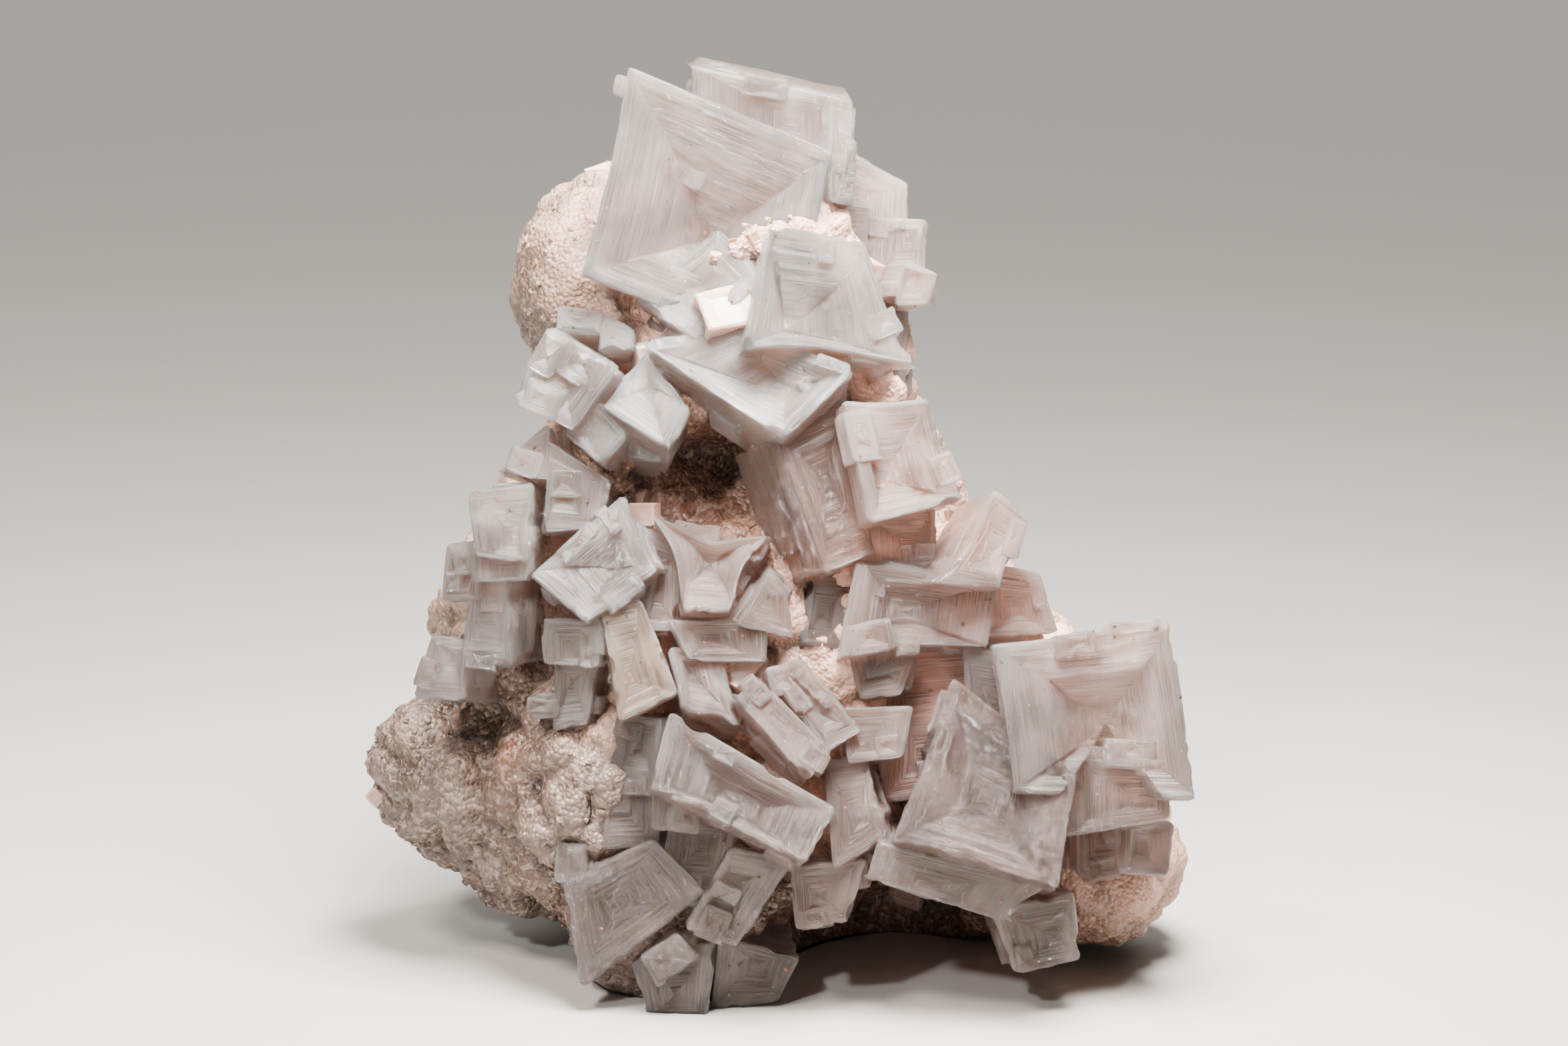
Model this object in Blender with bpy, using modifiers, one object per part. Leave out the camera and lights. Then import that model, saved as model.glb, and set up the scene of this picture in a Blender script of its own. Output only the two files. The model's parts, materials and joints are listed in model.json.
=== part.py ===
"""Halite cluster: hopper crystals of rock salt grown on a lumpy salt matrix.

Metres, +Z up. The specimen stands on a flat cut at Z = 0. Its crystal side leans back, so the crystals
are laid out in a leaning frame, in millimetres: across (to the right), up (along the lean) and out
(towards the front). Every crystal is a block with a stepped, hollow face.
"""

import math
from dataclasses import dataclass
from random import Random

import bmesh
import bpy
from mathutils import Euler, Matrix, Vector

# Driving dimensions, in millimetres and degrees.
MM = 0.001
FRONT_LEAN = 12.0
FRAME_CENTRE = (0.0, -13.0, 51.8)
NODE_GAP = 0.35
GROUND_SIZE = 200.0
MATRIX_VOXEL = 2.2
MATRIX_KEEP = 0.2
DRUSE_CUBES = 44
DRUSE_SIZES = (3.0, 6.5)
DRUSE_SEAT = 0.9
TREAD_SHARE = 0.7
SEED = 7

ICE = (0.86, 0.82, 0.80)
BLUSH = (0.84, 0.70, 0.64)
HONEY = (0.80, 0.68, 0.52)
SALT_CRUST = (0.52, 0.41, 0.34)


@dataclass
class Crystal:
    """A block crystal: the corners of its face from the lower left, anticlockwise, and its hollow.

    pit is where the hollow is deepest, as a share of the face across and up; floor is the size of the
    hollow's flat bottom; bow is how far the lower, right, upper and left edges curve inwards.
    """

    corners: tuple
    thick: float
    pit: tuple = (0.5, 0.5)
    depth: float = 0.0
    floor: float = 0.3
    rim: float = 0.08
    steps: int = 2
    taper: float = 0.9
    bow: tuple = (0.0, 0.0, 0.0, 0.0)


CROWN = (
    Crystal(((-21.6, 26.4, 3), (0.3, 17.6, -3), (5.4, 39.9, -2), (-16.6, 48.6, 4)), 12,
            pit=(0.65, 0.5), depth=5.5, steps=3, taper=0.72, bow=(0, 0, 0, 0.6)),
    Crystal(((-10, 36, -6), (7.4, 33, -7), (7.4, 45.6, -4), (-10, 49.2, -3)), 13, taper=0.95),
    Crystal(((-4, 42, -14), (6, 40, -14), (5, 47.6, -13), (-5, 49.8, -13)), 9),
    Crystal(((5, 34.4, -2), (7.6, 34.2, -3), (7.8, 44.8, -3), (5.2, 46, -2)), 9),
)
UPPER_RIGHT = (
    Crystal(((5, 29, -7), (13, 28, -7), (13.6, 37, -8), (6.5, 40.8, -8)), 12),
    Crystal(((8, 24, -6), (15.2, 25, -6), (15.6, 33, -7), (9, 33.5, -7)), 10, depth=1.2),
    Crystal(((12, 23.4, -5), (15.6, 23.6, -5), (16.8, 27, -5), (13, 28.6, -5)), 7),
    Crystal(((6, 15, -9), (13.2, 14, -9), (13.4, 24, -8), (6, 26, -8)), 12),
    Crystal(((3.4, 26, -5), (9, 25.4, -6), (9.4, 35, -6), (4.4, 35.6, -5)), 10),
)
UPPER_FRONT = (
    Crystal(((-9.6, 19.6, 5), (-1.9, 26.2, 3), (-7.1, 31.9, 1), (-16.1, 23.9, 3)), 10,
            pit=(0.6, 0.5), depth=2.5),
    Crystal(((-4.3, 18.3, 6), (14.2, 17, 2), (8.4, 30, 0), (-1, 32, 4)), 13,
            pit=(0.3, 0.25), depth=5, steps=3, bow=(0.9, 0, 0, 0)),
    Crystal(((-15.2, 18.9, 2), (0, 9.1, 8), (7.5, 16.5, 4), (-6, 21.5, 2)), 11,
            pit=(0.72, 0.55), depth=4, steps=3),
    Crystal(((-19.3, 12.3, 3), (-12.5, 8.1, 5), (-10, 12.2, 3), (-14.8, 18.6, 1)), 9,
            depth=1.5, steps=1),
    Crystal(((-16.9, 6.9, 1), (-13, 6.4, 1), (-12.6, 10.6, 0), (-16.2, 11.6, 0)), 8),
)
UPPER_LEFT = (
    Crystal(((-24.6, 20.6, -1), (-20, 20.2, 0), (-19.6, 22.9, -1), (-24.4, 23.5, -2)), 8),
    Crystal(((-19.8, 18, 0), (-16.3, 18.6, 0), (-16, 20.8, -1), (-19.6, 22.9, -1)), 8),
    Crystal(((-29, 13.5, 1), (-22.4, 9.6, 3), (-17.8, 16, 4), (-25, 21.2, 1)), 12,
            depth=2, pit=(0.4, 0.6)),
    Crystal(((-23.6, 9.6, 1), (-19.3, 5.9, 3), (-16.4, 9.2, 3), (-20, 13.4, 2)), 9),
)
PEACH_SLABS = (
    Crystal(((-31, 5.4, -1), (-24.6, 4.4, 1), (-25.2, 10.9, 0), (-29, 7.6, -1)), 10),
    Crystal(((-25.7, -1.1, 1), (-19.3, -0.6, 2), (-18.4, 4.4, 1), (-25.2, 9, 1)), 11, depth=1.2, steps=1),
)
RIGHT_MIDDLE = (
    Crystal(((4.6, -5.3, 6), (9.6, -3.3, 2), (6.4, 12.8, 1), (-1.1, 9, 5)), 10, taper=1.0),
    Crystal(((8.9, -0.2, 6), (19.4, 2.6, 3), (15.4, 13.2, 1), (6.4, 13.2, 5)), 11,
            pit=(0.3, 0.35), depth=3, bow=(0, 0.4, 0.3, 0)),
    Crystal(((8, -5, 1), (16.4, -4.6, 0), (16.2, 2, 0), (7.6, 2, 1)), 9),
)
LEFT = (
    Crystal(((-33, -3.6, 1), (-27.4, -4.4, 2), (-26.8, 4.4, 1), (-34, 3.4, 0)), 10, depth=1.4),
    Crystal(((-33.5, -6.4, 0), (-27, -6.2, 1), (-27, -2.6, 1), (-33.6, -2.8, 0)), 9),
    Crystal(((-37.1, -8.4, -3), (-32.6, -8.2, -1), (-32.8, -1.8, -1), (-36.4, -2.2, -3)), 9),
    Crystal(((-34.8, -15, -2), (-29.3, -15.4, 0), (-29, -5.8, 0), (-33.9, -5.6, -2)), 10),
    Crystal(((-40.2, -19, -4), (-34.6, -19.2, -2), (-33.8, -12.4, -2), (-38.2, -12, -4)), 10),
)
LEFT_CORNER = (
    Crystal(((-26.8, -5.4, 3), (-20.8, -10.4, 6), (-13.3, -5, 4), (-17.1, 3.4, 2)), 12,
            depth=2.4, pit=(0.6, 0.6)),
    Crystal(((-25.7, -15, 2), (-19.6, -15.4, 4), (-19.3, -10, 4), (-26.2, -10.2, 2)), 9),
    Crystal(((-24.8, -22.2, 1), (-21, -21.5, 2), (-19.6, -14.6, 2), (-24.5, -14.4, 1)), 10),
    Crystal(((-27, -21, 1), (-24.2, -20.8, 2), (-24.3, -18, 2), (-26.8, -18.2, 1)), 8),
)
CENTRE = (
    Crystal(((-10.6, -9.4, 5), (-5.8, -9.4, 5), (-0.9, -1.2, 2), (-14.2, 1.1, 2)), 11,
            pit=(0.5, 0.6), depth=3, bow=(0, 1.2, 2.0, 1.0)),
    Crystal(((-5.2, -11, 4), (1.3, -12.4, 3), (0.2, -7, 4), (-1.5, -4.9, 4)), 8),
    Crystal(((-10, -14.7, 4), (-1.8, -14.9, 3), (-1.6, -10, 3), (-12.6, -10.2, 3)), 10),
    Crystal(((-10.4, -20, 5), (-4.5, -21.6, 5), (-7, -13, 2), (-12.2, -13, 3)), 9),
    Crystal(((-17.5, -11.5, 1), (-11.2, -11.6, 3), (-11.2, -2, 1), (-16, 0.3, 0)), 10),
)
HORN = (
    Crystal(((5.9, -14.4, 5), (21.8, -13.2, 2), (22.8, -6.6, 1), (7.9, -3.4, 3)), 10,
            pit=(0.4, 0.5), depth=2.8, floor=0.4, bow=(0.8, 0, 0, 0)),
    Crystal(((15.7, -6.4, 6), (23.2, -7.2, 4), (26.2, 0.5, 1), (22.6, 3.8, 3)), 9,
            depth=1.5, bow=(0, 0.6, 0, 0.9)),
    Crystal(((20.6, -12.5, -1), (29.8, -12, -3), (27.6, -5.4, -3), (21.5, -4, -1)), 10),
    Crystal(((1.4, -12.6, 1), (7, -13.6, 1), (7.6, -5.5, 0), (2.9, -5.2, 0)), 10),
    Crystal(((8.2, -18.9, 2), (12.6, -18.4, 2), (14.8, -12.2, 1), (6.8, -13.6, 2)), 10),
)
BIG_RIGHT = (
    Crystal(((24.3, -28.4, 7), (43.7, -29.2, 5), (41.2, -10.3, 3), (21.9, -12.9, 5)), 12,
            pit=(0.58, 0.42), depth=6, floor=0.32, steps=3, bow=(0, 0, 0.3, 0.3)),
    Crystal(((29.6, -33.4, 3), (41.2, -31.6, 2), (41.4, -25, 1), (29.6, -24, 2)), 11),
    Crystal(((20, -26, 1), (27, -27, 2), (26, -14, 2), (19, -13, 1)), 12),
    Crystal(((10, -30.4, -2), (21.4, -28.4, -1), (22, -12.8, -1), (11.6, -13.4, -1)), 10),
    Crystal(((31.6, -38, -1), (37.4, -37.4, -2), (37.6, -31.4, -2), (31.4, -31.8, -1)), 9),
    Crystal(((36.6, -37.8, -3), (41.8, -38.2, -5), (42.4, -32.6, -6), (37, -30.8, -3)), 9),
)
LOWER_RIGHT = (
    Crystal(((11.3, -33.6, 8), (28.8, -38.3, 9), (31, -26.6, 5), (17.9, -16.1, 4)), 15,
            pit=(0.5, 0.55), depth=2.5, floor=0.5, steps=2, bow=(0.3, 0, 0, 0.4)),
    Crystal(((8.6, -37.7, 5), (23.4, -42.4, 5), (28.2, -38, 6), (9.8, -33.6, 6)), 12),
    Crystal(((24.6, -48.2, 1), (31.8, -46.8, 0), (31, -39.5, 1), (21.8, -41, 2)), 11),
)
MIDDLE_BLOCKS = (
    Crystal(((4.6, -24.4, 5), (8.4, -22, 4), (2, -14.3, 3), (-2.1, -15.4, 4)), 9, depth=0.8, steps=1),
    Crystal(((2.6, -27.2, 7), (5.2, -24.2, 6), (-2.9, -16, 5), (-5.2, -18.4, 6)), 9),
    Crystal(((6.8, -25.6, 4), (12.8, -24.9, 3), (14, -19.4, 2), (5.9, -19.6, 3)), 9),
    Crystal(((5.2, -37, 4), (10.9, -33, 5), (8.9, -25, 2), (4, -24.6, 2)), 10, depth=1, steps=1),
    Crystal(((1.2, -43.4, 2), (6.8, -42.6, 3), (9, -35.6, 3), (0.4, -36.4, 3)), 9),
)
BAR = (
    Crystal(((-14.3, -27.8, 8), (2.4, -35.8, 9), (5.6, -30.1, 7), (-12.1, -19.7, 6)), 9,
            pit=(0.5, 0.35), depth=3, floor=0.45, rim=0.12),
    Crystal(((-14, -32.6, 5), (-9, -33, 6), (-8.6, -28, 6), (-14, -27, 5)), 9),
    Crystal(((-19.3, -28.6, 1), (-13.4, -29, 3), (-12.8, -20.8, 4), (-17.5, -20.2, 2)), 10),
    Crystal(((-19.4, -34.9, 1), (-13.2, -34.6, 2), (-13.4, -27.4, 2), (-19.4, -27.8, 1)), 10),
    Crystal(((-23.3, -33.5, 0), (-19, -33.8, 1), (-19, -26.4, 1), (-22.9, -26.4, 0)), 9),
)
YELLOW_BLOCK = (
    Crystal(((-17.4, -21.2, 6), (-11.2, -18, 5), (-15.2, -8, 4), (-19.6, -8.6, 4)), 9),
)
BOTTOM = (
    Crystal(((-21.8, -50, -1), (-8.2, -39.2, 4), (-13.9, -33.5, 3), (-23.8, -38.3, 1)), 12,
            pit=(0.4, 0.5), depth=0.8, steps=1),
    Crystal(((-10.6, -43.2, 3), (-5, -45.3, 3), (1.2, -35.6, 4), (-5.8, -34.4, 5)), 10, depth=0.8, steps=1),
    Crystal(((-24.7, -38.6, 0), (-21, -38.6, 1), (-21, -34.2, 1), (-24.4, -34, 0)), 9),
    Crystal(((-13.8, -40.2, 2), (-6.6, -40.4, 3), (-4.8, -32.4, 3), (-12.2, -31.4, 3)), 10),
)
FEET = (
    Crystal(((-13.4, -50, 1), (-9, -46, 2), (-11.4, -43.6, 2), (-15.6, -46.2, 1)), 8),
    Crystal(((-14.4, -54, -2), (-8.5, -54, -1), (-7, -44.6, 0), (-16.6, -47, -1)), 10),
    Crystal(((-8, -53, -3), (-0.6, -51.6, -3), (1.8, -46.8, -2), (-7, -44, -1)), 11),
)

GROUPS = {
    "crown_crystals": (CROWN, ICE),
    "upper_front_crystals": (UPPER_FRONT, ICE),
    "bar_hopper": (BAR, ICE),
    "yellow_block": (YELLOW_BLOCK, HONEY),
    "big_right_hopper": (BIG_RIGHT, ICE),
    "right_middle_crystals": (RIGHT_MIDDLE, BLUSH),
    "lower_right_hopper": (LOWER_RIGHT, ICE),
    "horn_crystals": (HORN, BLUSH),
    "left_clear_crystal": (LEFT, ICE),
    "left_corner_crystals": (LEFT_CORNER, ICE),
    "upper_left_crystals": (UPPER_LEFT, ICE),
    "peach_slabs": (PEACH_SLABS, BLUSH),
    "bottom_crystals": (BOTTOM, ICE),
    "foot_crystals": (FEET, ICE),
    "centre_crystals": (CENTRE, BLUSH),
    "middle_blocks": (MIDDLE_BLOCKS, BLUSH),
    "upper_right_druse": (UPPER_RIGHT, BLUSH),
}

# The matrix's lumps, standing upright: centre x, y, z and radii x, y, z.
LUMPS = (
    (-4, 4, 74, 16, 13, 15),
    (-20.3, 12, 74.4, 10.3, 11, 11.4),
    (-2, 16, 86, 10, 8, 7),
    (5, 8, 66, 9, 13, 18),
    (-8, 4, 54, 20, 16, 16),
    (-23, 6, 46, 10, 12, 11),
    (-28, 4, 36, 11, 13, 12),
    (-33.8, 2, 20, 12, 12, 10),
    (-26, 0, 13, 10, 10, 8.5),
    (-20, -4, 22, 13, 16, 17),
    (2, 2, 34, 22, 19, 22),
    (2, 3, 14, 24, 21, 17),
    (22, 0, 27, 15, 15, 13),
    (33.8, 0, 10.8, 10, 12, 9.5),
    (20, 12, 10, 16, 12, 14),
    (-10, 16, 14, 18, 12, 16),
    (6, 20, 44, 15, 10, 20),
    (-13, 19, 60, 13, 9, 14),
    (-12, -10, 8, 12, 11, 12),
    (19, 8, 38, 8, 9, 7),
)
HOLLOWS = (
    (-5.5, -12, 56, 6, 9, 6.5),
    (12, -16, 2, 14, 17, 12),
)


def reset_scene():
    """Start from an empty scene."""
    for thing in list(bpy.data.objects):
        bpy.data.objects.remove(thing)


def make_collection(name, parent=None):
    """Add a collection under the scene's, or under another collection."""
    collection = bpy.data.collections.new(name)
    (parent or bpy.context.scene.collection).children.link(collection)
    return collection


def make_material(name, color, roughness):
    """A Principled material in one colour."""
    material = bpy.data.materials.new(name)
    material.use_nodes = True
    shader = material.node_tree.nodes["Principled BSDF"]
    shader.inputs["Base Color"].default_value = (*color, 1.0)
    shader.inputs["Roughness"].default_value = roughness
    return material


def face_point(corners, u, v):
    """The point of a crystal's face at u across and v up."""
    low = corners[0].lerp(corners[1], u)
    high = corners[3].lerp(corners[2], u)
    return low.lerp(high, v)


def carve_hollow(bm, crystal):
    """Step the front face down towards the pit, a flat tread and then a riser each time."""
    pit = Vector((crystal.pit[0] - 0.5, crystal.pit[1] - 0.5, 0.0))
    drop = crystal.depth / crystal.thick / crystal.steps
    front = max(bm.faces, key=face_height)
    share = 1.0
    for step in range(crystal.steps):
        outer = 1.0 - crystal.rim
        target = outer - (outer - crystal.floor) * step / crystal.steps
        after = outer - (outer - crystal.floor) * (step + 1) / crystal.steps
        shrink_front(bm, front, pit, target / share, 0.0)
        share = TREAD_SHARE * after + (1.0 - TREAD_SHARE) * target
        shrink_front(bm, front, pit, share / target, drop)


def face_height(face):
    """How far forward a face lies in the unit block."""
    return face.calc_center_median().z


def shrink_front(bm, front, pit, ratio, drop):
    """Inset the front face towards the pit and lower it."""
    bmesh.ops.inset_individual(bm, faces=[front], thickness=0.0)
    for vert in front.verts:
        vert.co.xy = pit.xy + (vert.co.xy - pit.xy) * ratio
        vert.co.z -= drop


def bend_edges(bm, crystal):
    """Split each curved edge of the face and pull its middle in by the bow."""
    width, height = face_size(crystal)
    sides = ((0, -1), (1, 0), (0, 1), (-1, 0))
    for bow, (x, y) in zip(crystal.bow, sides):
        if not bow:
            continue
        middle = Vector((x / 2, y / 2, 0.5))
        edge = min(bm.edges, key=lambda e: ((e.verts[0].co + e.verts[1].co) / 2 - middle).length)
        split = bmesh.ops.subdivide_edges(bm, edges=[edge], cuts=1)["geom_inner"]
        vert = next(item for item in split if isinstance(item, bmesh.types.BMVert))
        vert.co -= Vector((x * bow / width, y * bow / height, 0.0))


def flat_corners(crystal):
    """The face's corners, moved just enough to lie in one plane, and the plane's normal."""
    corners = [Vector(corner) for corner in crystal.corners]
    normal = (corners[2] - corners[0]).cross(corners[3] - corners[1]).normalized()
    twist = (corners[1] - corners[0]).dot(normal) / 2
    for number, corner in enumerate(corners):
        corner += normal * (-twist if number % 2 else twist)
    return corners, normal


def face_size(crystal):
    """The face's width and height, each measured square to the other's edges."""
    corners, _normal = flat_corners(crystal)
    across = (corners[1] - corners[0] + corners[2] - corners[3]) / 2
    upward = (corners[3] - corners[0] + corners[2] - corners[1]) / 2
    slant = math.sin(across.angle(upward))
    return across.length * slant, upward.length * slant


def warp_block(bm, crystal, grow):
    """Stretch the unit block over the crystal's four corners and back along its thickness."""
    corners, normal = flat_corners(crystal)
    width, height = face_size(crystal)
    for vert in bm.verts:
        back = 0.5 - vert.co.z
        shrink = 1.0 - (1.0 - crystal.taper) * back
        u = 0.5 + vert.co.x * shrink * (1.0 + 2.0 * grow / width)
        v = 0.5 + vert.co.y * shrink * (1.0 + 2.0 * grow / height)
        depth = crystal.thick * back + grow * (2.0 * back - 1.0)
        vert.co = (face_point(corners, u, v) - normal * depth) * MM


def crystal_mesh(name, crystal, grow=0.0):
    """One crystal as a mesh in the leaning frame; grow makes it a plain block, thicker all round."""
    bm = bmesh.new()
    bmesh.ops.create_cube(bm, size=1.0)
    if any(crystal.bow) and not grow:
        bend_edges(bm, crystal)
    if crystal.depth and not grow:
        carve_hollow(bm, crystal)
    warp_block(bm, crystal, grow)
    mesh = bpy.data.meshes.new(name)
    bm.to_mesh(mesh)
    bm.free()
    return mesh


def add_object(name, mesh, collection, frame=None):
    """Place a mesh in a collection, in the leaning frame if it is given."""
    thing = bpy.data.objects.new(name, mesh)
    collection.objects.link(thing)
    thing.parent = frame
    return thing


def as_cutter(thing):
    """Cutters show as wires and aren't rendered."""
    thing.hide_render = True
    thing.display_type = "WIRE"
    return thing


def add_boolean(thing, operation, other, overlapping=False):
    """Join or cut with an object or with all of a collection, whose own pieces may overlap."""
    modifier = thing.modifiers.new(operation.title(), "BOOLEAN")
    modifier.operation = operation
    modifier.solver = "EXACT"
    modifier.use_self = overlapping
    if isinstance(other, bpy.types.Collection):
        modifier.operand_type = "COLLECTION"
        modifier.collection = other
    else:
        modifier.object = other


def drop_crumbs(thing):
    """Apply the modifiers and keep only the largest body, without the crumbs cut loose from it."""
    graph = bpy.context.evaluated_depsgraph_get()
    mesh = bpy.data.meshes.new_from_object(thing.evaluated_get(graph))
    thing.modifiers.clear()
    bm = bmesh.new()
    bm.from_mesh(mesh)
    bodies = []
    waiting = set(bm.verts)
    while waiting:
        body = grow_body(waiting.pop())
        waiting -= body
        bodies.append(body)
    bodies.sort(key=len)
    for body in bodies[:-1]:
        bmesh.ops.delete(bm, geom=list(body), context="VERTS")
    bm.to_mesh(mesh)
    bm.free()
    thing.data = mesh


def grow_body(seed):
    """All the vertices joined to one vertex."""
    body = {seed}
    edge_of_body = [seed]
    while edge_of_body:
        vert = edge_of_body.pop()
        fresh = {edge.other_vert(vert) for edge in vert.link_edges} - body
        body |= fresh
        edge_of_body.extend(fresh)
    return body


def make_ground(cutters):
    """A slab under Z = 0 that cuts the base flat."""
    bm = bmesh.new()
    bmesh.ops.create_cube(bm, size=GROUND_SIZE * MM)
    bmesh.ops.translate(bm, verts=bm.verts, vec=(0, 0, -GROUND_SIZE / 2 * MM))
    mesh = bpy.data.meshes.new("ground")
    bm.to_mesh(mesh)
    bm.free()
    return as_cutter(add_object("ground", mesh, cutters))


def lump_mesh(name, lumps):
    """Ellipsoids joined in one mesh, each an icosphere."""
    bm = bmesh.new()
    for x, y, z, *radii in lumps:
        place = Matrix.Translation(Vector((x, y, z)) * MM) @ Matrix.Diagonal((*[r * MM for r in radii], 1))
        bmesh.ops.create_icosphere(bm, subdivisions=3, radius=1.0, matrix=place)
    mesh = bpy.data.meshes.new(name)
    bm.to_mesh(mesh)
    bm.free()
    return mesh


def druse_mesh(name):
    """Small cubes scattered over the lumps, sunk by about half into them."""
    rng = Random(SEED)
    bm = bmesh.new()
    while len(bm.verts) < 8 * DRUSE_CUBES:
        x, y, z, *radii = rng.choice(LUMPS)
        way = Vector((rng.gauss(0, 1), rng.gauss(0.8, 0.7), rng.gauss(0.1, 0.8))).normalized()
        spot = Vector((x, y, z)) + Vector([w * r * DRUSE_SEAT for w, r in zip(way, radii)])
        size = rng.uniform(*DRUSE_SIZES)
        if spot.z < 8 or way.y < 0 or is_buried(spot, 2.0):
            continue
        turn = Euler([rng.uniform(0, math.pi) for _ in range(3)]).to_matrix().to_4x4()
        place = Matrix.Translation(spot * MM) @ turn
        bmesh.ops.create_cube(bm, size=size * MM, matrix=place)
    mesh = bpy.data.meshes.new(name)
    bm.to_mesh(mesh)
    bm.free()
    return mesh


def is_buried(spot, margin):
    """Whether a point lies inside more than its own lump."""
    inside = 0
    for x, y, z, *radii in LUMPS:
        offset = [(s - c) / (r - margin) for s, c, r in zip(spot, (x, y, z), radii)]
        inside += Vector(offset).length < 1.0
    return inside > 0


def make_matrix(parts, cutters, swollen, ground):
    """The salt matrix: fused lumps, coarse facets, hollows, small cubes, and room for the crystals."""
    matrix = add_object("matrix", lump_mesh("matrix", LUMPS), parts)
    matrix.data.materials.append(make_material("salt_crust", SALT_CRUST, 0.8))
    remesh = matrix.modifiers.new("Fuse", "REMESH")
    remesh.mode = "VOXEL"
    remesh.voxel_size = MATRIX_VOXEL * MM
    facets = matrix.modifiers.new("Facets", "DECIMATE")
    facets.ratio = MATRIX_KEEP
    facets.use_collapse_triangulate = True
    hollows = as_cutter(add_object("hollows", lump_mesh("hollows", HOLLOWS), cutters))
    druse = as_cutter(add_object("small_cubes", druse_mesh("small_cubes"), cutters))
    add_boolean(matrix, "UNION", druse, overlapping=True)
    add_boolean(matrix, "DIFFERENCE", hollows)
    add_boolean(matrix, "DIFFERENCE", swollen)
    add_boolean(matrix, "DIFFERENCE", ground)
    drop_crumbs(matrix)


def make_group(name, crystals, color, frame, parts, cutters, taken, ground):
    """One intergrown group: its crystals joined, and cut back from the groups made before it."""
    group = add_object(name, crystal_mesh(name, crystals[0]), parts, frame)
    group.data.materials.append(make_material(name + "_salt", color, 0.35))
    joined = make_collection(name + "_joined", cutters)
    for number, crystal in enumerate(crystals[1:], 2):
        label = f"{name}_{number}"
        as_cutter(add_object(label, crystal_mesh(label, crystal), joined, frame))
    add_boolean(group, "UNION", joined)
    if taken.objects:
        room = make_collection(name + "_room", cutters)
        for thing in taken.objects:
            room.objects.link(thing)
        add_boolean(group, "DIFFERENCE", room)
    add_boolean(group, "DIFFERENCE", ground)
    for number, crystal in enumerate(crystals, 1):
        label = f"{name}_room_{number}"
        as_cutter(add_object(label, crystal_mesh(label, crystal, NODE_GAP), taken, frame))


def main():
    """Build the matrix and every crystal group."""
    reset_scene()
    parts = make_collection("halite_cluster")
    cutters = make_collection("cutters")
    taken = make_collection("room_taken", cutters)
    ground = make_ground(cutters)
    frame = add_object("crystal_frame", None, parts)
    frame.location = Vector(FRAME_CENTRE) * MM
    frame.rotation_euler.x = math.radians(90.0 - FRONT_LEAN)
    for name, (crystals, color) in GROUPS.items():
        make_group(name, crystals, color, frame, parts, cutters, taken, ground)
    make_matrix(parts, cutters, taken, ground)


main()
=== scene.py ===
"""Looks of a halite cluster: frosty hopper crystals of rock salt grown on a granular salt crust.

The crystals are laid out as in the solids, in a leaning frame and in millimetres: across (to the right),
up (along the lean) and out (towards the front). Finished pieces are in metres, +Z up, at the origin.
"""

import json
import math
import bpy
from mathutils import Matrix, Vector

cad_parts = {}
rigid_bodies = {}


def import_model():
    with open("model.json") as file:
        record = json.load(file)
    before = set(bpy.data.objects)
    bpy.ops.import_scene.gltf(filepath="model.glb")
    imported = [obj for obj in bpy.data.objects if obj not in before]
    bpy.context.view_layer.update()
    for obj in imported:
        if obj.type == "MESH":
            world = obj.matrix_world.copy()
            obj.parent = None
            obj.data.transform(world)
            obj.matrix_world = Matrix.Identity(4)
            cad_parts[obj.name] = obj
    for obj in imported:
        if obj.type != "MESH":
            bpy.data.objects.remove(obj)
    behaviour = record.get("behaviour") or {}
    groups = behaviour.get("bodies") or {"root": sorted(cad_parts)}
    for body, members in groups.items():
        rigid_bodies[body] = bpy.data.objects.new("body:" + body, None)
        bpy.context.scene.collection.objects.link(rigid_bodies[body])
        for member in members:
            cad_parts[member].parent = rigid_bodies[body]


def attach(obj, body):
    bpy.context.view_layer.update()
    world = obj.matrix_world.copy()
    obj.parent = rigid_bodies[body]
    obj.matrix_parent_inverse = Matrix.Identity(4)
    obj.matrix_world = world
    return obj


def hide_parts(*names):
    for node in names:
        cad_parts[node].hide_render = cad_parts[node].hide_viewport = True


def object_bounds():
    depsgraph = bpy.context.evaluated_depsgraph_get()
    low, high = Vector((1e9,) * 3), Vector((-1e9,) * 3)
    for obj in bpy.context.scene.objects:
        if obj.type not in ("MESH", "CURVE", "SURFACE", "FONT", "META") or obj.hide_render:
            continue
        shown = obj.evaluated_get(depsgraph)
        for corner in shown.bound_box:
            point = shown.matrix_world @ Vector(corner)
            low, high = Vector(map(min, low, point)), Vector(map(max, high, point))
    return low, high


bl_info = {
    "name": "Halite Cluster",
    "version": (1, 0, 0),
    "blender": (4, 5, 0),
    "location": "View3D > Sidebar > Halite",
    "description": "Adds the crystals, crust, druse, grains and dust of a halite cluster, and its studio",
    "category": "Add Mesh",
}

from dataclasses import dataclass, replace
from itertools import product

import bmesh
import bpy
import numpy as np
from bpy.props import FloatProperty, FloatVectorProperty, IntProperty, PointerProperty
from mathutils import Matrix, Vector
from mathutils.bvhtree import BVHTree

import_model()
CAD_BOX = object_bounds()

MM = 0.001
FRONT_LEAN = 12.0
FRAME_CENTRE = (0.0, -13.0, 51.8)
LEAN = Matrix.Rotation(math.radians(90.0 - FRONT_LEAN), 3, "X")
LOWER, RIGHT, UPPER, LEFT_SIDE = range(4)


def linear(code):
    """An sRGB hex colour as linear red, green and blue."""
    parts = [(code >> shift & 0xFF) / 255.0 for shift in (16, 8, 0)]
    return tuple(p / 12.92 if p <= 0.04045 else ((p + 0.055) / 1.055) ** 2.4 for p in parts)


# ---------------------------------------------------------------------------------------------------
# The crystals
# ---------------------------------------------------------------------------------------------------


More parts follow.
